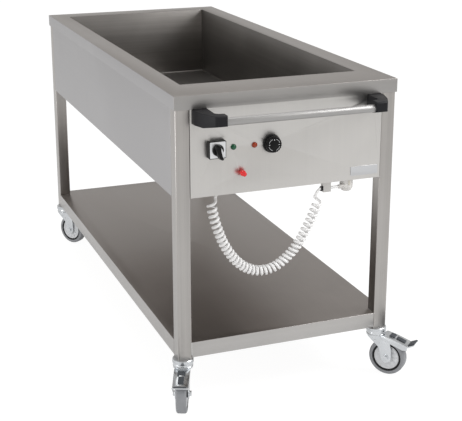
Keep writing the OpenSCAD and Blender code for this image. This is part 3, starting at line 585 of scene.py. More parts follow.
def paint_light_by_direction(made: bpy.types.Object, finish: Finish, way: Triple) -> None:
    """Paints light or shade by direction: gives the faces that look one way a lighter or darker
    copy of the finish.

    Args:
        made: the piece.
        finish: the lighter or darker copy of the finish for those faces, painted light or shade.
        way: direction the faces look in, a unit vector.
    """
    least_cosine = 0.8
    made.data.materials.append(finish.material())
    index = len(made.data.materials) - 1
    for face in made.data.polygons:
        if face.normal.dot(Vector(way)) > least_cosine:
            face.material_index = index


# ---------------------------------------------------------------- sub-assemblies


@dataclass
class Body(Assembly):
    """Worktop, well, panels, legs and shelf.

    Args:
        weld: width of the weld fillet round the well's floor.
        seam: radius of the weld in the well's upright corners.
    """

    weld: float = 3.5
    seam: float = 1.6

    def build(self) -> None:
        """Builds every piece of the body."""
        towards_front, towards_left = (0, -1, 0), (-1, 0, 0)
        worktop = dress("worktop_rim", WORKTOP_STEEL, 1.4, 3)
        # Painted shade: the worktop's faces towards the front and the left get retoned copies of
        # its steel
        paint_light_by_direction(worktop, APRON_PAINTED_SHADE_STEEL, towards_front)
        paint_light_by_direction(worktop, SIDE_PAINTED_SHADE_STEEL, towards_left)
        # Painted shade: the side panels take the darker sideways copy of the sheet steel
        for node, finish, width in (
                ("well_side_walls", WELL_STEEL, 0.3), ("well_end_walls", WELL_END_STEEL, 0.3),
                ("well_floor", WELL_STEEL, 0.3), ("left_side_panel", SIDE_PAINTED_SHADE_STEEL, 0.6),
                ("right_side_panel", SIDE_PAINTED_SHADE_STEEL, 0.6), ("rear_panel", PANEL_STEEL, 0.6),
                ("control_panel", PANEL_STEEL, 0.6), ("base_tray", SHELF_STEEL, 0.3),
                *((f"leg_{corner}", LEG_STEEL, 0.3) for corner in CORNERS)):
            dress(node, finish, width)
        shelf = dress("undershelf", SHELF_STEEL, 0.7)
        # Painted light: the shelf's lips towards the front and the left get a lighter copy of its
        # steel
        paint_light_by_direction(shelf, LIP_PAINTED_LIGHT_STEEL, towards_front)
        paint_light_by_direction(shelf, LIP_PAINTED_LIGHT_STEEL, towards_left)
        self.well_welds()

    def well_welds(self) -> None:
        """Builds the fillet round the well's floor and the welds in its upright corners."""
        low, high = self.local("well_floor")
        wall = high.z - low.z
        half_x, half_y = (high.x - low.x) / 2 - wall, (high.y - low.y) / 2 - wall
        mid_y = (high.y + low.y) / 2
        corners = ((1, 1), (-1, 1), (-1, -1), (1, -1))
        bm = bmesh.new()
        rings, steps = [], 4
        for i in range(steps + 1):
            a = QUARTER * i / steps
            inset, lift = self.weld * (1 - math.cos(a)), self.weld * (1 - math.sin(a))
            ring = [bm.verts.new((sx * (half_x - inset), sy * (half_y - inset), lift))
                    for sx, sy in corners]
            rings.append([bm.edges.new(pair) for pair in zip(ring, ring[1:] + ring[:1])])
        for first, second in zip(rings, rings[1:]):
            bmesh.ops.bridge_loops(bm, edges=first + second)
        bmesh.ops.recalc_face_normals(bm, faces=bm.faces)
        bmesh.ops.reverse_faces(bm, faces=bm.faces)
        clear = 0.05
        piece(bm, "well_floor_fillet", WELL_STEEL, self.matrix(0, mid_y, high.z + clear))
        bm = bmesh.new()
        height = self.local("well_side_walls")[1].z - high.z
        for sx, sy in corners:
            made = bmesh.ops.create_cone(bm, cap_ends=True, segments=12, radius1=self.seam,
                                         radius2=self.seam, depth=height - 2)
            bmesh.ops.translate(bm, verts=made["verts"],
                                vec=(sx * half_x, sy * half_y, height / 2))
        piece(bm, "well_corner_welds", HEATER_STEEL, self.matrix(0, mid_y, high.z))


@dataclass
class PushBar(Assembly):
    """Push bar and its two moulded brackets.

    Args:
        rounding: rounding of the brackets' edges.
        drop: how far the brackets' underside rises towards the bar.
    """

    rounding: float = 3.0
    drop: float = 8.0

    def build(self) -> None:
        """Builds the bar and both brackets, the left one as the right one's mirror image."""
        dress("push_bar", BAR_STEEL, 0.4)
        for side, sign in (("right", 1), ("left", -1)):
            piece(self.bracket(), f"bracket_{side}", GRIP_BLACK,
                  self.matrix(0, 0, 0, Matrix.Diagonal((sign, 1, 1, 1))),
                  nodes=(f"handle_bracket_{side}",), sharp=50)

    def bracket(self) -> BMesh:
        """Raises the right bracket from its plan and cuts it to its side outline.

        Returns:
            A new mesh.
        """
        low, high = self.local("handle_bracket_right")
        x0, front, back = low.x, low.y, high.y
        inner_back = self.local("push_bar")[1].y + 3
        foot_width = 42
        foot0, foot1 = high.x - foot_width, high.x
        outline = [(foot0, back), (foot1, back), (foot1 - 1, back - 22), (foot1 - 13, back - 62),
                   (x0 + 34, front + 3), (x0 + 30, front), (x0 + 2, front), (x0, front + 2),
                   (x0, inner_back - 2), (x0 + 3, inner_back), (foot0 - 6, inner_back + 3),
                   (foot0 + 1, inner_back + 10)]
        bm = extrude_outline(outline, low.z, high.z)
        for point, away in (((0, back - 20, low.z), (0, -self.drop, -35)),
                            ((0, back - 55, low.z + self.drop), (0, 0, -1)),
                            ((0, front, high.z - 3), (0, -3, 4))):
            made = bmesh.ops.bisect_plane(bm, geom=bm.verts[:] + bm.edges[:] + bm.faces[:],
                                          plane_co=point, plane_no=away, clear_outer=True)
            rim = [e for e in made["geom_cut"] if isinstance(e, bmesh.types.BMEdge)]
            if rim:
                bmesh.ops.contextual_create(bm, geom=rim)
        round_edges(bm, self.rounding, 3, 22)
        return bm


@dataclass
class Controls(Assembly):
    """What stands on the control panel."""

    def build(self) -> None:
        """Builds the switch, the lamps, both knobs and the bare plate."""
        dress("switch_base", KNOB_BLACK, 1.6, 3)
        dress("switch_plate", SWITCH_METAL, 0.5)
        self.switch_knob()
        self.lamp("green_lamp", LENS_GREEN)
        self.lamp("amber_lamp", LENS_AMBER)
        self.thermostat_knob()
        self.drain_knob()
        self.bare_plate()

    def on_panel(self, node: str, degrees: float = 0.0, foot: float | None = None) -> Matrix:
        """Returns the transform of a shape at the middle of a node, standing out to the front.

        Args:
            node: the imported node.
            degrees: turn of the shape about its own +Z.
            foot: Y of the shape's foot, the panel's face if left out.

        Returns:
            The matrix from millimetres, with +Z out of the panel, to the frame.
        """
        x, _, z = self.centre(node)
        y = self.local("control_panel")[0].y if foot is None else foot
        return self.matrix(x, y, z, FACE_FRONT @ Matrix.Rotation(math.radians(degrees),
                                                                        4, "Z"))

    def switch_knob(self) -> None:
        """Builds the round foot, the pointed grip and a white crescent on the grip that is a
        painted highlight.
        """
        height = 19.0
        place = self.on_panel("switch_base", -72,
                              self.local("switch_knob")[0].y + height)
        body = "main_switch_knob"
        foot = [(0, -3), (15.4, -3), (16, 0), (15.6, 3), (13.4, 4.6), (0, 4.6)]
        piece(spin_profile(foot, 48), "switch_knob_foot", KNOB_BLACK, place, body,
              ("switch_knob",))
        outline = [(27.5, 0), (25.5, 4.8), (19, 8.0), (7, 9.8), (-8, 9.8), (-15.5, 7.2), (-19, 0)]
        outline += [(x, -y) for x, y in outline[-2:0:-1]]
        bm = extrude_outline(outline, 3.0, height)
        narrowed = (0.94, 0.72, 1)
        top = [v for v in bm.verts if v.co.z > height - 1]
        bmesh.ops.scale(bm, vec=narrowed, verts=top)
        round_edges(bm, 2.2, 3, 28)
        piece(bm, "switch_knob_grip", KNOB_BLACK, place, body, sharp=45)
        # Painted highlight: a white crescent along the grip's edge stands in for the light the
        # glossy grip catches
        highlight_crescent = [(-9, 5.6), (-2, 6.7), (6, 6.6), (14, 5.3), (21, 2.6), (14, 2.0), (6, 2.4),
                    (-1, 3.4)]
        sunk, proud = 0.2, 0.25
        piece(extrude_outline(highlight_crescent, height - sunk, height + proud), "switch_knob_painted_highlight",
              PRINT_AND_HIGHLIGHT_WHITE, place, body)

    def lamp(self, node: str, finish: MouldedFinish) -> None:
        """Builds a signal lamp: a bezel ring and a domed lens.

        Args:
            node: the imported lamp.
            finish: finish of the lens.
        """
        steps = 6
        dome = [(6.2 * math.cos(a), 1.4 + 4.0 * math.sin(a))
                for a in (QUARTER * i / steps for i in range(steps + 1))]
        dome[-1] = (0.0, dome[-1][1])
        bezel = [(0, 0.2), (7.5, 0.2), (7.5, 1.6), (7.1, 2.1), (6.4, 2.1)]
        piece(spin_profile(bezel + dome, 40), f"{node}_lens", finish, self.on_panel(node),
              nodes=(node,))

    def thermostat_knob(self) -> None:
        """Builds the skirted knob, its fluted grip, its cap and the white marks of its dial."""
        node = "thermostat_knob"
        low, high = self.local(node)
        radius = (high.x - low.x) / 2
        face = self.local("control_panel")[0].y - low.y - 0.5
        place = self.on_panel(node)
        body = "thermostat_dial"
        skirt = [(0, 0.6), (radius - 0.6, 0.6), (radius, 1.4), (radius, 5.0),
                 (radius - 1.2, 6.6), (radius - 3, 7.2), (0, 7.2)]
        piece(spin_profile(skirt, 64), "dial_skirt", KNOB_BLACK, place, body, (node,))
        flutes, crest, groove = 20, radius - 2.0, radius - 3.6
        outline = []
        for i in range(flutes * 4):
            a = math.tau * i / (flutes * 4)
            r = groove if i % 4 == 0 else crest
            outline.append((r * math.cos(a), r * math.sin(a)))
        bm = extrude_outline(outline, 6.6, face)
        crown = [v for v in bm.verts if v.co.z > face - 0.5]
        bmesh.ops.scale(bm, vec=(0.94, 0.94, 1), verts=crown)
        round_edges(bm, 1.0, 2, 50)
        piece(bm, "dial_grip", KNOB_BLACK, place, body, sharp=40)
        cap = [(0, face - 1), (10.0, face - 1), (10.0, face + 0.6), (9.0, face + 1.1),
               (0, face + 1.1)]
        piece(spin_profile(cap, 40), "dial_cap", KNOB_BLACK, place, body)
        piece(self.dial_marks(face - 0.1, face + 0.12), "dial_marks", PRINT_AND_HIGHLIGHT_WHITE, place, body)

    def dial_marks(self, low: float, high: float) -> BMesh:
        """Builds the three marks and the broken ring of the dial.

        Args:
            low: height of the marks' lower faces.
            high: height of their upper faces.

        Returns:
            A new mesh.
        """
        bm = bmesh.new()
        for turn in range(3):
            extrude_outline([(12.4, -1.1), (15.6, -0.4), (15.6, 0.4), (12.4, 1.1)], low, high, bm,
                            QUARTER * turn)
        span, steps, inner, outer = 54, 9, 15.6, 16.4
        for first in (18, 108, 198, 288):
            arc = [math.radians(first + span * i / steps) for i in range(steps + 1)]
            rim = [(r, a) for r, way in ((outer, arc), (inner, arc[::-1])) for a in way]
            extrude_outline([(r * math.cos(a), r * math.sin(a)) for r, a in rim], low, high, bm)
        return bm

    def drain_knob(self) -> None:
        """Builds the two-lobed red knob on its collar."""
        place = self.on_panel("drain_knob", -40)
        body = "drain_handle"
        stem = [(0, 0.6), (6.4, 0.6), (6.5, 2.4), (5.8, 3.6), (5.8, 6.6), (7.4, 7.6),
                (8.2, 10.4), (7.8, 14.0), (5.8, 17.0), (2.8, 18.2), (0, 18.4)]
        piece(spin_profile(stem, 36), "drain_knob_stem", DRAIN_RED, place, body, ("drain_knob",))
        outline = [(0, 6.0), (4, 5.6), (7.0, 5.8), (9.6, 4.6), (10.6, 0)]
        outline += [(x, -y) for x, y in outline[-2::-1]]
        outline += [(-x, y) for x, y in outline[-2:0:-1]]
        bm = extrude_outline(outline, 8.0, 16.6)
        round_edges(bm, 2.6, 4, 30)
        piece(bm, "drain_knob_wings", DRAIN_RED, place, body, sharp=60)

    def bare_plate(self) -> None:
        """Builds the bare plate: a flat field in a narrow raised frame with round corners."""
        node = "nameplate_blank"
        low, high = self.local(node)
        radius, steps, outline = 2.5, 5, []
        for quarter, (sx, sy) in enumerate(((1, 1), (-1, 1), (-1, -1), (1, -1))):
            for i in range(steps + 1):
                a = QUARTER * (quarter + i / steps)
                outline.append((sx * ((high.x - low.x) / 2 - radius) + radius * math.cos(a),
                                sy * ((high.z - low.z) / 2 - radius) + radius * math.sin(a)))
        bm = extrude_outline(outline, 0.0, high.y - low.y)
        top = max(bm.faces, key=lambda f: f.calc_center_median().z)
        frame_width, sunk = 1.8, 0.6
        bmesh.ops.inset_region(bm, faces=[top], thickness=frame_width)
        bmesh.ops.translate(bm, verts=list(top.verts), vec=(0, 0, -sunk))
        round_edges(bm, 0.3, 2, 30)
        made = piece(bm, "bare_plate", FRAME_METAL, self.on_panel(node, foot=high.y),
                     nodes=(node,))
        made.data.materials.append(ALUMINIUM.material())
        max(made.data.polygons, key=lambda f: f.area).material_index = 1


@dataclass
class SupplyLead(Assembly):
    """The curly lead from its gland to the parked plug.

    Args:
        diameter: diameter of the lead.
        curl_diameter: outer diameter of the curls.
        curls: number of curls.
        rings: points of the middle line in each curl.
        bunch: how much closer the curls lie at the lowest point.
        ramp: curls over which the lead turns into its full curl.
    """

    diameter: float = 8.0
    curl_diameter: float = 30.0
    curls: int = 40
    rings: int = 24
    bunch: float = 0.12
    ramp: float = 1.8

    # The route's points from the gland's end, and from the grommet's face
    ROUTE = [(-10, 0, 33), (-11, 0, 0), (-10, 0, -33), (-4, -2, -66), (6, -4, -99),
             (18, -4, -130), (34, -5, -160), (53, -7, -187), (78, -8, -210), (107, -9, -225),
             (141, -11, -229), (174, -12, -221), (203, -13, -202), (227, -15, -178),
             (247, -16, -151), (263, -17, -121), (278, -19, -90), (291, -20, -58),
             (299, -22, -25)]
    HOOK = [(0, 0, 0), (9, 0, -19)]
    FIRST_CURL = 0.15

    def build(self) -> None:
        """Builds the lead, its gland, the parking bracket and the plug."""
        self.lead()
        self.gland()
        dress("park_bracket", FITTING_STEEL, 0.4)
        dress("park_grommet", SEAL_BLACK, 0.8, 3)

    def middle_line(self) -> list[Vector]:
        """Works out the lead's middle line, curls and all.

        Returns:
            Its points from the gland to the grommet.
        """
        x, y, _ = self.centre("cord_gland")
        start = Vector((x, y, self.local("cord_gland")[0].z))
        _, y, z = self.centre("park_grommet")
        end = Vector((self.local("park_grommet")[0].x, y, z))
        points = [start + Vector(p) for p in self.ROUTE] + [end + Vector(p) for p in self.HOOK]
        spans = len(points) - 3
        last_curl = spans - 1
        radius = (self.curl_diameter - self.diameter) / 2
        rate = self.curls / self.ramp

        def on_route(u: float) -> Vector:
            """Returns the route's point at u spans, on a smooth curve through its points."""
            i = min(int(u), spans - 1)
            t = u - i
            a, b, c, d = points[i:i + 4]
            return 0.5 * (2 * b + (c - a) * t + (2 * a - 5 * b + 4 * c - d) * t ** 2
                          + (3 * b - a - 3 * c + d) * t ** 3)

        def eased(t: float) -> float:
            """Returns the share of the turns reached at t, slow at both ends."""
            if t > 0.5:
                return 1 - 1 / rate - eased(1 - t)
            return t * t * rate / 2 if t * rate < 1 else t - 0.5 / rate

        def wound(u: float) -> Vector:
            """Winds the lead round the route.

            Args:
                u: place along the route, in spans between its points.

            Returns:
                The lead's point there.
            """
            step = 0.02
            before, after = max(u - step, 0), min(u + step, spans)
            way = (on_route(after) - on_route(before)).normalized()
            side = (Vector((0, 1, 0)) - way * way.y).normalized()
            part = min(max((u - self.FIRST_CURL) / (last_curl - self.FIRST_CURL), 0), 1)
            turns = eased(part - self.bunch * math.sin(math.tau * part) / math.tau)
            angle = QUARTER + math.tau * self.curls * turns / (1 - 1 / rate)
            share = max(u - last_curl, 0) / (spans - last_curl)
            reach = radius * (1 - share * share * (3 - 2 * share))
            around = side * math.cos(angle) + way.cross(side) * math.sin(angle)
            return on_route(u) + around * reach

        count, before, after = self.curls * self.rings, 3, 16
        places = [self.FIRST_CURL * i / before for i in range(before)]
        places += [self.FIRST_CURL + (last_curl - self.FIRST_CURL) * i / count
                   for i in range(count + 1)]
        places += [last_curl + (spans - last_curl) * i / after for i in range(1, after + 1)]
        return [wound(u) for u in places]

    def lead(self) -> None:
        line = self.middle_line()
        in_plug = self.local("plug_body")[0].x + 2
        tail_end = Vector((in_plug, line[-1].y, line[-1].z))
        steps = 8
        line += [line[-1].lerp(tail_end, i / steps) for i in range(1, steps + 1)]
        placed = [self.at(*p) for p in line]
        curve = bpy.data.curves.new("supply_lead", "CURVE")
        curve.dimensions = "3D"
        spline = curve.splines.new("POLY")
        spline.points.add(len(placed) - 1)
        for point, target in zip(spline.points, placed):
            point.co = (*target, 1.0)
        spline.use_smooth = True
        curve.bevel_depth = self.diameter / 2 * MM
        curve.bevel_resolution = 4
        curve.use_fill_caps = True
        curve.materials.append(LEAD_WHITE.material())
        made = add_object("supply_lead", curve)
        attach(made, "trolley_body")
        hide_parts("curly_cord", "cord_tail")
        plug = Plug(self.middle).build(line[-1])

    def gland(self) -> None:
        """Builds the gland: a tapered sleeve, and its nut with six flats."""
        node = "cord_gland"
        low, high = self.local(node)
        x, y, _ = self.centre(node)
        place = self.matrix(x, y, low.z)
        top = high.z - low.z
        sleeve = [(4.1, 0), (6, 0), (6.4, 1.5), (8.8, 7.6), (8.8, 8.2), (7.0, 8.3), (7.0, top),
                  (4.1, top), (4.1, 0)]
        piece(spin_profile(sleeve, 40), "gland_sleeve", PLUG_WHITE, place, nodes=(node,))
        flats, radius, nut_low, nut_high = 6, 10, 8.2, 12.9
        angles = [math.tau * i / flats for i in range(flats)]
        bm = extrude_outline([(radius * math.cos(a), radius * math.sin(a)) for a in angles],
                             nut_low, nut_high)
        round_edges(bm, 0.6, 2)
        piece(bm, "gland_nut", PLUG_WHITE, place)


@dataclass
class Plug(Assembly):
    """The angled plug, parked with its pins up in the tray."""

    def build(self, lead_end: Vector) -> list[bpy.types.Object]:
        """Builds the plug and its ribbed sleeve.

        Args:
            lead_end: where the lead enters the plug, in the trolley's millimetres.

        Returns:
            The plug's pieces.
        """
        low, high = self.local("plug_body")
        x, y, _ = self.centre("plug_pins")
        place = self.matrix(x, y, low.z)
        depth = high.z - low.z
        radius = high.x - x
        shell = [(0, 0), (radius - 9, 0), (radius - 5.5, 1.6), (radius - 1.2, 9.0),
                 (radius - 0.2, 11.5), (radius, 14), (radius, depth - 12),
                 (radius - 0.9, depth - 11.4), (radius - 0.9, depth - 9.6), (radius, depth - 9),
                 (radius, depth - 1), (radius - 1, depth), (0, depth)]
        cap = piece(spin_profile(shell, 56), "plug_cap", PLUG_WHITE, place, nodes=("plug_body",))
        bore, ribs, length = 4.05, 7, x - 6 - lead_end.x
        profile = [(bore, -1.0), (5.0, -1.0)]
        for i in range(ribs):
            at, wide = length * 0.75 * i / ribs, 5.0 + 2.2 * i / ribs
            profile += [(wide + 0.7, at + 0.4), (wide + 0.7, at + 1.6), (wide - 0.1, at + 2.0)]
        profile += [(7.6, length * 0.8), (8.0, length), (bore, length), (bore, -1.0)]
        sleeve = piece(spin_profile(profile, 36), "plug_sleeve", PLUG_WHITE,
                       self.matrix(*lead_end, Matrix.Rotation(QUARTER, 4, "Y")))
        strip, proud, height = (6.0, 1.0, 13.0), radius + 0.1, depth - 8.0
        bm = bmesh.new()
        for y in (-proud, proud):
            made = bmesh.ops.create_cube(bm, size=1.0)["verts"]
            bmesh.ops.scale(bm, vec=strip, verts=made)
            bmesh.ops.translate(bm, vec=(0, y, height), verts=made)
        round_edges(bm, 0.3, 2)
        return [cap, sleeve, piece(bm, "plug_earth_strips", PIN_METAL, place)]


@dataclass
class Caster(Assembly):
    """One swivel caster, drawn with its swivel axis upright and its axle towards +X.

    Args:
        name: corner of the trolley, such as front_left.
        swivel: place of the swivel axis in the frame, in metres.
        heading: direction from the swivel axis to the axle, seen from above, in radians.
        braked: whether it has a pedal.
        trail: distance from the swivel axis to the axle.
        wheel_radius: radius over the tyre.
        rim_radius: radius of the rim.
        tread_width: width of the tyre.
    """

    name: str
    swivel: Vector
    heading: float
    braked: bool
    trail: float = 40.0
    wheel_radius: float = 55.0
    rim_radius: float = 44.0
    tread_width: float = 30.0

    def place(self, x: float = 0.0, z: float = 0.0, turn: Matrix = UPRIGHT) -> Matrix:
        """Returns the transform of a shape set at x along the trail and z above the floor."""
        foot = Vector((self.swivel.x, self.swivel.y, 0))
        return (Matrix.Translation(foot) @ Matrix.Rotation(self.heading, 4, "Z")
                @ Matrix.Translation(Vector((x, 0, z)) * MM) @ Matrix.Scale(MM, 4) @ turn)

    def add(self, bm: BMesh, kind: str, finish: Finish, body: str = "", node: str = "",
            place: Matrix | None = None, sharp: float = 32.0) -> None:
        """Makes a mesh a piece of this caster.

        Args:
            bm: the mesh, freed here.
            kind: name of the piece without its corner.
            finish: its finish.
            body: kind of the body it rides on, the trolley's if left out.
            node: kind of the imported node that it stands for, if any.
            place: transform from the mesh to the frame, the caster's own if left out.
            sharp: angle in degrees past which an edge stays sharp.
        """
        piece(bm, f"{kind}_{self.name}", finish, place or self.place(),
              f"{self.name}_{body}" if body else TRUNK,
              (f"caster_{self.name}_{node}",) if node else (), sharp)

    def add_to_wheel(self, bm: BMesh, kind: str, finish: Finish, node: str = "",
                     sharp: float = 32.0) -> None:
        """Makes a mesh whose +Z is the axle a piece that rolls, as add does for any other."""
        place = self.place(self.trail, self.wheel_radius, Matrix.Rotation(-QUARTER, 4, "X"))
        self.add(bm, kind, finish, "roller", node, place, sharp)

    def build(self) -> None:
        """Builds the caster's pieces."""
        self.head()
        self.fork()
        self.wheel()
        self.tyre()
        if self.braked:
            self.pedal()

    def head(self) -> None:
        """Builds the fixed race under the leg with its groove, and the king bolt's nut."""
        race = [(0, 131), (28.6, 131), (29.8, 132), (30, 134), (29.9, 137.4), (29.1, 137.9),
                (29.1, 138.7), (29.8, 139.2), (29.7, 142.2), (28.2, 144.2), (26.5, 144.9),
                (0, 144.9)]
        self.add(spin_profile(race, 72), "race", ZINC, node="head")
        radius, thickness, height = 9.5, 7.6, 113.7
        bm = bmesh.new()
        bmesh.ops.create_cone(bm, cap_ends=True, segments=6, radius1=radius, radius2=radius,
                              depth=thickness)
        round_edges(bm, 0.7, 2)
        self.add(bm, "king_nut", ZINC, place=self.place(0, height))

    def fork(self) -> None:
        """Builds the pressed fork, the axle bolt, the turned race's skirt and the rivets."""
        for node, width in (("fork", 0.9), ("axle", 0.5)):
            dress(f"caster_{self.name}_{node}", ZINC, width, body=f"{self.name}_swivel")
        skirt = [(26.9, 121.2), (28.4, 121.6), (28.6, 123.2), (27.6, 124.4), (27.4, 129.0),
                 (26.9, 130.2), (26.9, 121.2)]
        self.add(spin_profile(skirt, 64), "race_skirt", ZINC, "swivel")
        cheek, radius, flatness = 19.6, 2.6, 0.45
        bm = bmesh.new()
        for y in (-cheek, cheek):
            for x, z in ((4.0, 104.0), (18.0, 98.0)):
                made = bmesh.ops.create_uvsphere(bm, u_segments=16, v_segments=8, radius=radius)
                bmesh.ops.scale(bm, vec=(1, flatness, 1), verts=made["verts"])
                bmesh.ops.translate(bm, vec=(x, y, z), verts=made["verts"])
        self.add(bm, "fork_rivets", ZINC, "swivel")

    def wheel(self) -> None:
        """Builds the black rim and hub, and the ribbed grey cover on each side."""
        rim, half = self.rim_radius, self.tread_width / 2
        upper = [(11, 16), (11.6, 15.4), (11.6, 6), (rim - 7, 6), (rim - 5, half - 1.4),
                 (rim - 0.6, half - 1.0), (rim, half - 1.8)]
        profile = [(6.3, -16), *((r, -h) for r, h in upper), *upper[::-1], (6.3, 16), (6.3, -16)]
        self.add_to_wheel(spin_profile(profile, 72), "rim", RIM_BLACK, "wheel")
        cover, rib_low, rib_high = rim - 6.2, 9.6, 12.2
        bm = spin_profile([(12, 8), (12, 11.4), (13.2, 12.4), (16, 11.6), (22, 10.6),
                           (cover - 5, 10.8), (cover - 3, 12.6), (cover - 0.8, 13.2),
                           (cover, 12.2), (cover, 9.0), (12, 8)], 72)
        ribs, inner, outer = 12, 13.5, cover - 4
        for i in range(ribs):
            extrude_outline([(inner, -0.8), (outer, -0.8), (outer, 0.8), (inner, 0.8)], rib_low,
                            rib_high, bm, math.tau * i / ribs)
        copied = bmesh.ops.duplicate(bm, geom=bm.verts[:] + bm.edges[:] + bm.faces[:])["geom"]
        turn_about(bm, [v for v in copied if isinstance(v, bmesh.types.BMVert)], math.pi, "X")
        self.add_to_wheel(bm, "wheel_covers", WHEEL_GREY)

    def tyre(self) -> None:
        """Builds the tyre with rounded shoulders and a fine moulding groove."""
        rim, outer, half = self.rim_radius + 0.05, self.wheel_radius, self.tread_width / 2
        upper = [(rim, half - 0.6), (rim + 0.8, half), (rim + 2.4, half), (rim + 2.9, half - 0.5),
                 (rim + 3.6, half - 0.1)]
        shoulder, steps = 6.5, 7
        for a in (QUARTER * i / steps for i in range(steps + 1)):
            upper.append((outer - shoulder + shoulder * math.sin(a),
                          half - 0.1 - shoulder * (1 - math.cos(a))))
        profile = upper + [(r, -h) for r, h in reversed(upper)] + upper[:1]
        self.add_to_wheel(spin_profile(profile, 96), "tyre", TYRE_GREY, "tyre", 40)

    def pedal(self) -> None:
        """Builds the pressed brake pedal and its rubber pads."""
        dress(f"caster_{self.name}_pedal", ZINC, 0.6, body=f"{self.name}_brake")
        crown, on_side = 118.0, self.place(turn=Matrix.Rotation(QUARTER, 4, "X"))
        pads = (("heel", [(45, 3.4), (47, 7.8), (60, 5.0), (64, -0.4)], 11.0),
                ("strip", [(66, -1.0), (67, 1.6), (92, -6.6), (94, -9.9)], 8.0),
                ("lip", [(105, -13.2), (104, -10.6), (121, -2.6), (124, -3.6), (123, -6.2)], 17.0))
        for name, outline, half in pads:
            bm = extrude_outline([(x, crown + z) for x, z in outline], -half, half)
            round_edges(bm, 1.0, 3, 30)
            self.add(bm, f"pedal_{name}", RUBBER, "brake", place=on_side, sharp=45)


def casters(frame: dict, middle: Vector) -> list[Caster]:
    """Reads where each caster stands and which way it points from the frame's joints.

    Args:
        frame: the loaded frame.
        middle: place in the frame of the trolley's middle.

    Returns:
        The four casters.
    """
    joints = {joint["name"]: joint for joint in frame["joints"]}
    found = []
    for name in CORNERS:
        axle = joints[f"{name}_roll"]["axis"]
        found.append(Caster(middle, name, Vector(joints[f"{name}_swivel_turn"]["pos_m"]),
                            math.atan2(-axle[0], axle[1]), f"{name}_brake_press" in joints))
    return found


# ---------------------------------------------------------------- studio


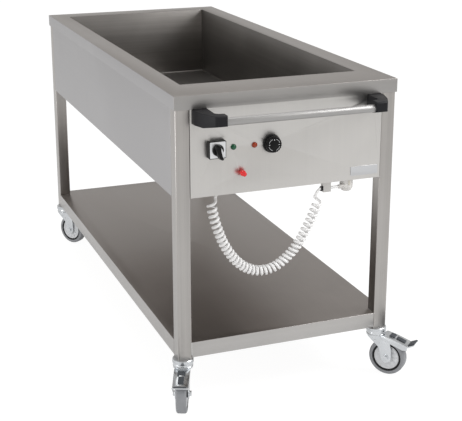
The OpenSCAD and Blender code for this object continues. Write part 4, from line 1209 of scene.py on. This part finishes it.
@dataclass
class Studio(Assembly):
    """Camera, lamps, world and floor.

    Args:
        camera_at: place of the camera in the trolley's millimetres.
        yaw: turn of the camera to the right, in degrees.
        pitch: turn of the camera downwards, in degrees.
        lens: focal length for a 36 mm wide picture.
        shift_y: shift of the picture.
    """

    camera_at: Triple = (-1192.3, -3416.4, 1517.8)
    yaw: float = 21.02
    pitch: float = 16.56
    lens: float = 87.19
    shift_y: float = -0.08

    # Name, place, diameter in metres and watts of each lamp
    LAMPS = (("key", (2300, -1700, 2800), 1.8, 62.0), ("side", (-3200, -900, 1000), 2.0, 30.0),
             ("top", (300, 400, 3600), 2.6, 24.0))

    def camera(self) -> None:
        """Sets up the camera at the photograph's angle."""
        data = bpy.data.cameras.new("studio_camera")
        data.lens = self.lens
        data.sensor_width = 36.0
        data.shift_y = self.shift_y
        data.clip_end = 60.0
        made = add_object("studio_camera", data)
        made.location = self.at(*self.camera_at)
        made.rotation_euler = (math.radians(90 - self.pitch), 0, math.radians(-self.yaw))
        bpy.context.scene.camera = made

    def world(self) -> None:
        """Sets up a white backdrop and a soft surround, dimmer overhead."""
        world = bpy.data.worlds.new("studio_world")
        bpy.context.scene.world = world
        tree = fresh_tree(world)
        way = add_node(tree, "SeparateXYZ",
                       {0: add_node(tree, "TexCoord").outputs["Generated"]}).outputs
        level, overhead, towards_front, spread = 0.86, -0.48, -0.12, 0.8
        up = calc(tree, "POWER", calc(tree, "MAXIMUM", way["Z"], 0.0), spread)
        glow = calc(tree, "MULTIPLY_ADD", way["Y"], towards_front,
                    calc(tree, "MULTIPLY_ADD", up, overhead, 1.0))
        surround = add_node(tree, "Background", {"Color": (1.0, 0.985, 0.97, 1.0),
                                                 "Strength": calc(tree, "MULTIPLY", glow, level)})
        backdrop = add_node(tree, "Background", {"Color": (1, 1, 1, 1), "Strength": 1.0})
        path = add_node(tree, "LightPath").outputs
        seen = calc(tree, "MAXIMUM", path["Is Camera Ray"], path["Is Transmission Ray"])
        mix = add_node(tree, "MixShader", {0: seen, 1: surround.outputs[0],
                                           2: backdrop.outputs[0]})
        add_node(tree, "OutputWorld", {0: mix.outputs[0]})

    def floor(self) -> None:
        """Builds the pale floor, white to the camera and keeping the trolley's shadow."""
        half_size = 20.0
        bm = bmesh.new()
        bmesh.ops.create_grid(bm, x_segments=1, y_segments=1, size=half_size)
        made = add_object("studio_floor", bm)
        look = bpy.data.materials.new("studio_floor_white")
        tree = fresh_tree(look)
        reflected, direct, lift = 0.62, 0.18, 0.16
        path = add_node(tree, "LightPath").outputs
        eye = path["Is Camera Ray"]
        seen = calc(tree, "MAXIMUM", eye, path["Is Glossy Ray"])
        share = calc(tree, "MULTIPLY_ADD", eye, direct, calc(tree, "MULTIPLY", seen, reflected))
        lit = add_node(tree, "BsdfDiffuse", {"Color": (0.80, 0.80, 0.80, 1)})
        glow = add_node(tree, "Emission", {"Strength": calc(tree, "MULTIPLY_ADD", eye, lift, 1.0)})
        mix = add_node(tree, "MixShader", {0: share, 1: lit.outputs[0], 2: glow.outputs[0]})
        add_node(tree, "OutputMaterial", {0: mix.outputs[0]})
        made.data.materials.append(look)

    def lamps(self) -> None:
        """Sets up three large soft lamps."""
        aim_height = 550
        target = self.at(0, 0, aim_height)
        for name, where, size, watts in self.LAMPS:
            data = bpy.data.lights.new(f"lamp_{name}", "AREA")
            data.shape = "DISK"
            data.size = size
            data.energy = watts
            made = add_object(f"lamp_{name}", data)
            made.location = self.at(*where)
            made.rotation_euler = (target - made.location).to_track_quat("-Z", "Y").to_euler()

    def build(self) -> None:
        """Sets up everything round the trolley."""
        bpy.context.scene.view_settings.view_transform = "Standard"
        self.world()
        self.floor()
        self.lamps()


def main() -> None:
    """Builds the trolley's looks round the frame."""
    logging.basicConfig(level=logging.INFO, format="%(name)s: %(message)s")
    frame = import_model()
    low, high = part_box("worktop_rim")
    middle = Vector(((low.x + high.x) / 2, (low.y + high.y) / 2, 0.0))
    studio = Studio(middle)
    studio.camera()
    for part in (SupplyLead(middle), Body(middle), PushBar(middle), Controls(middle),
                 *casters(frame, middle)):
        part.build()
    for node, finish in KEPT_NODES.items():
        kept = frame["nodes"][node]
        kept.data.materials.clear()
        kept.data.materials.append(finish.material())
        LOG.info("%s keeps its shape in %s", node, finish.name)
    studio.build()


if __name__ == "__main__":
    main()
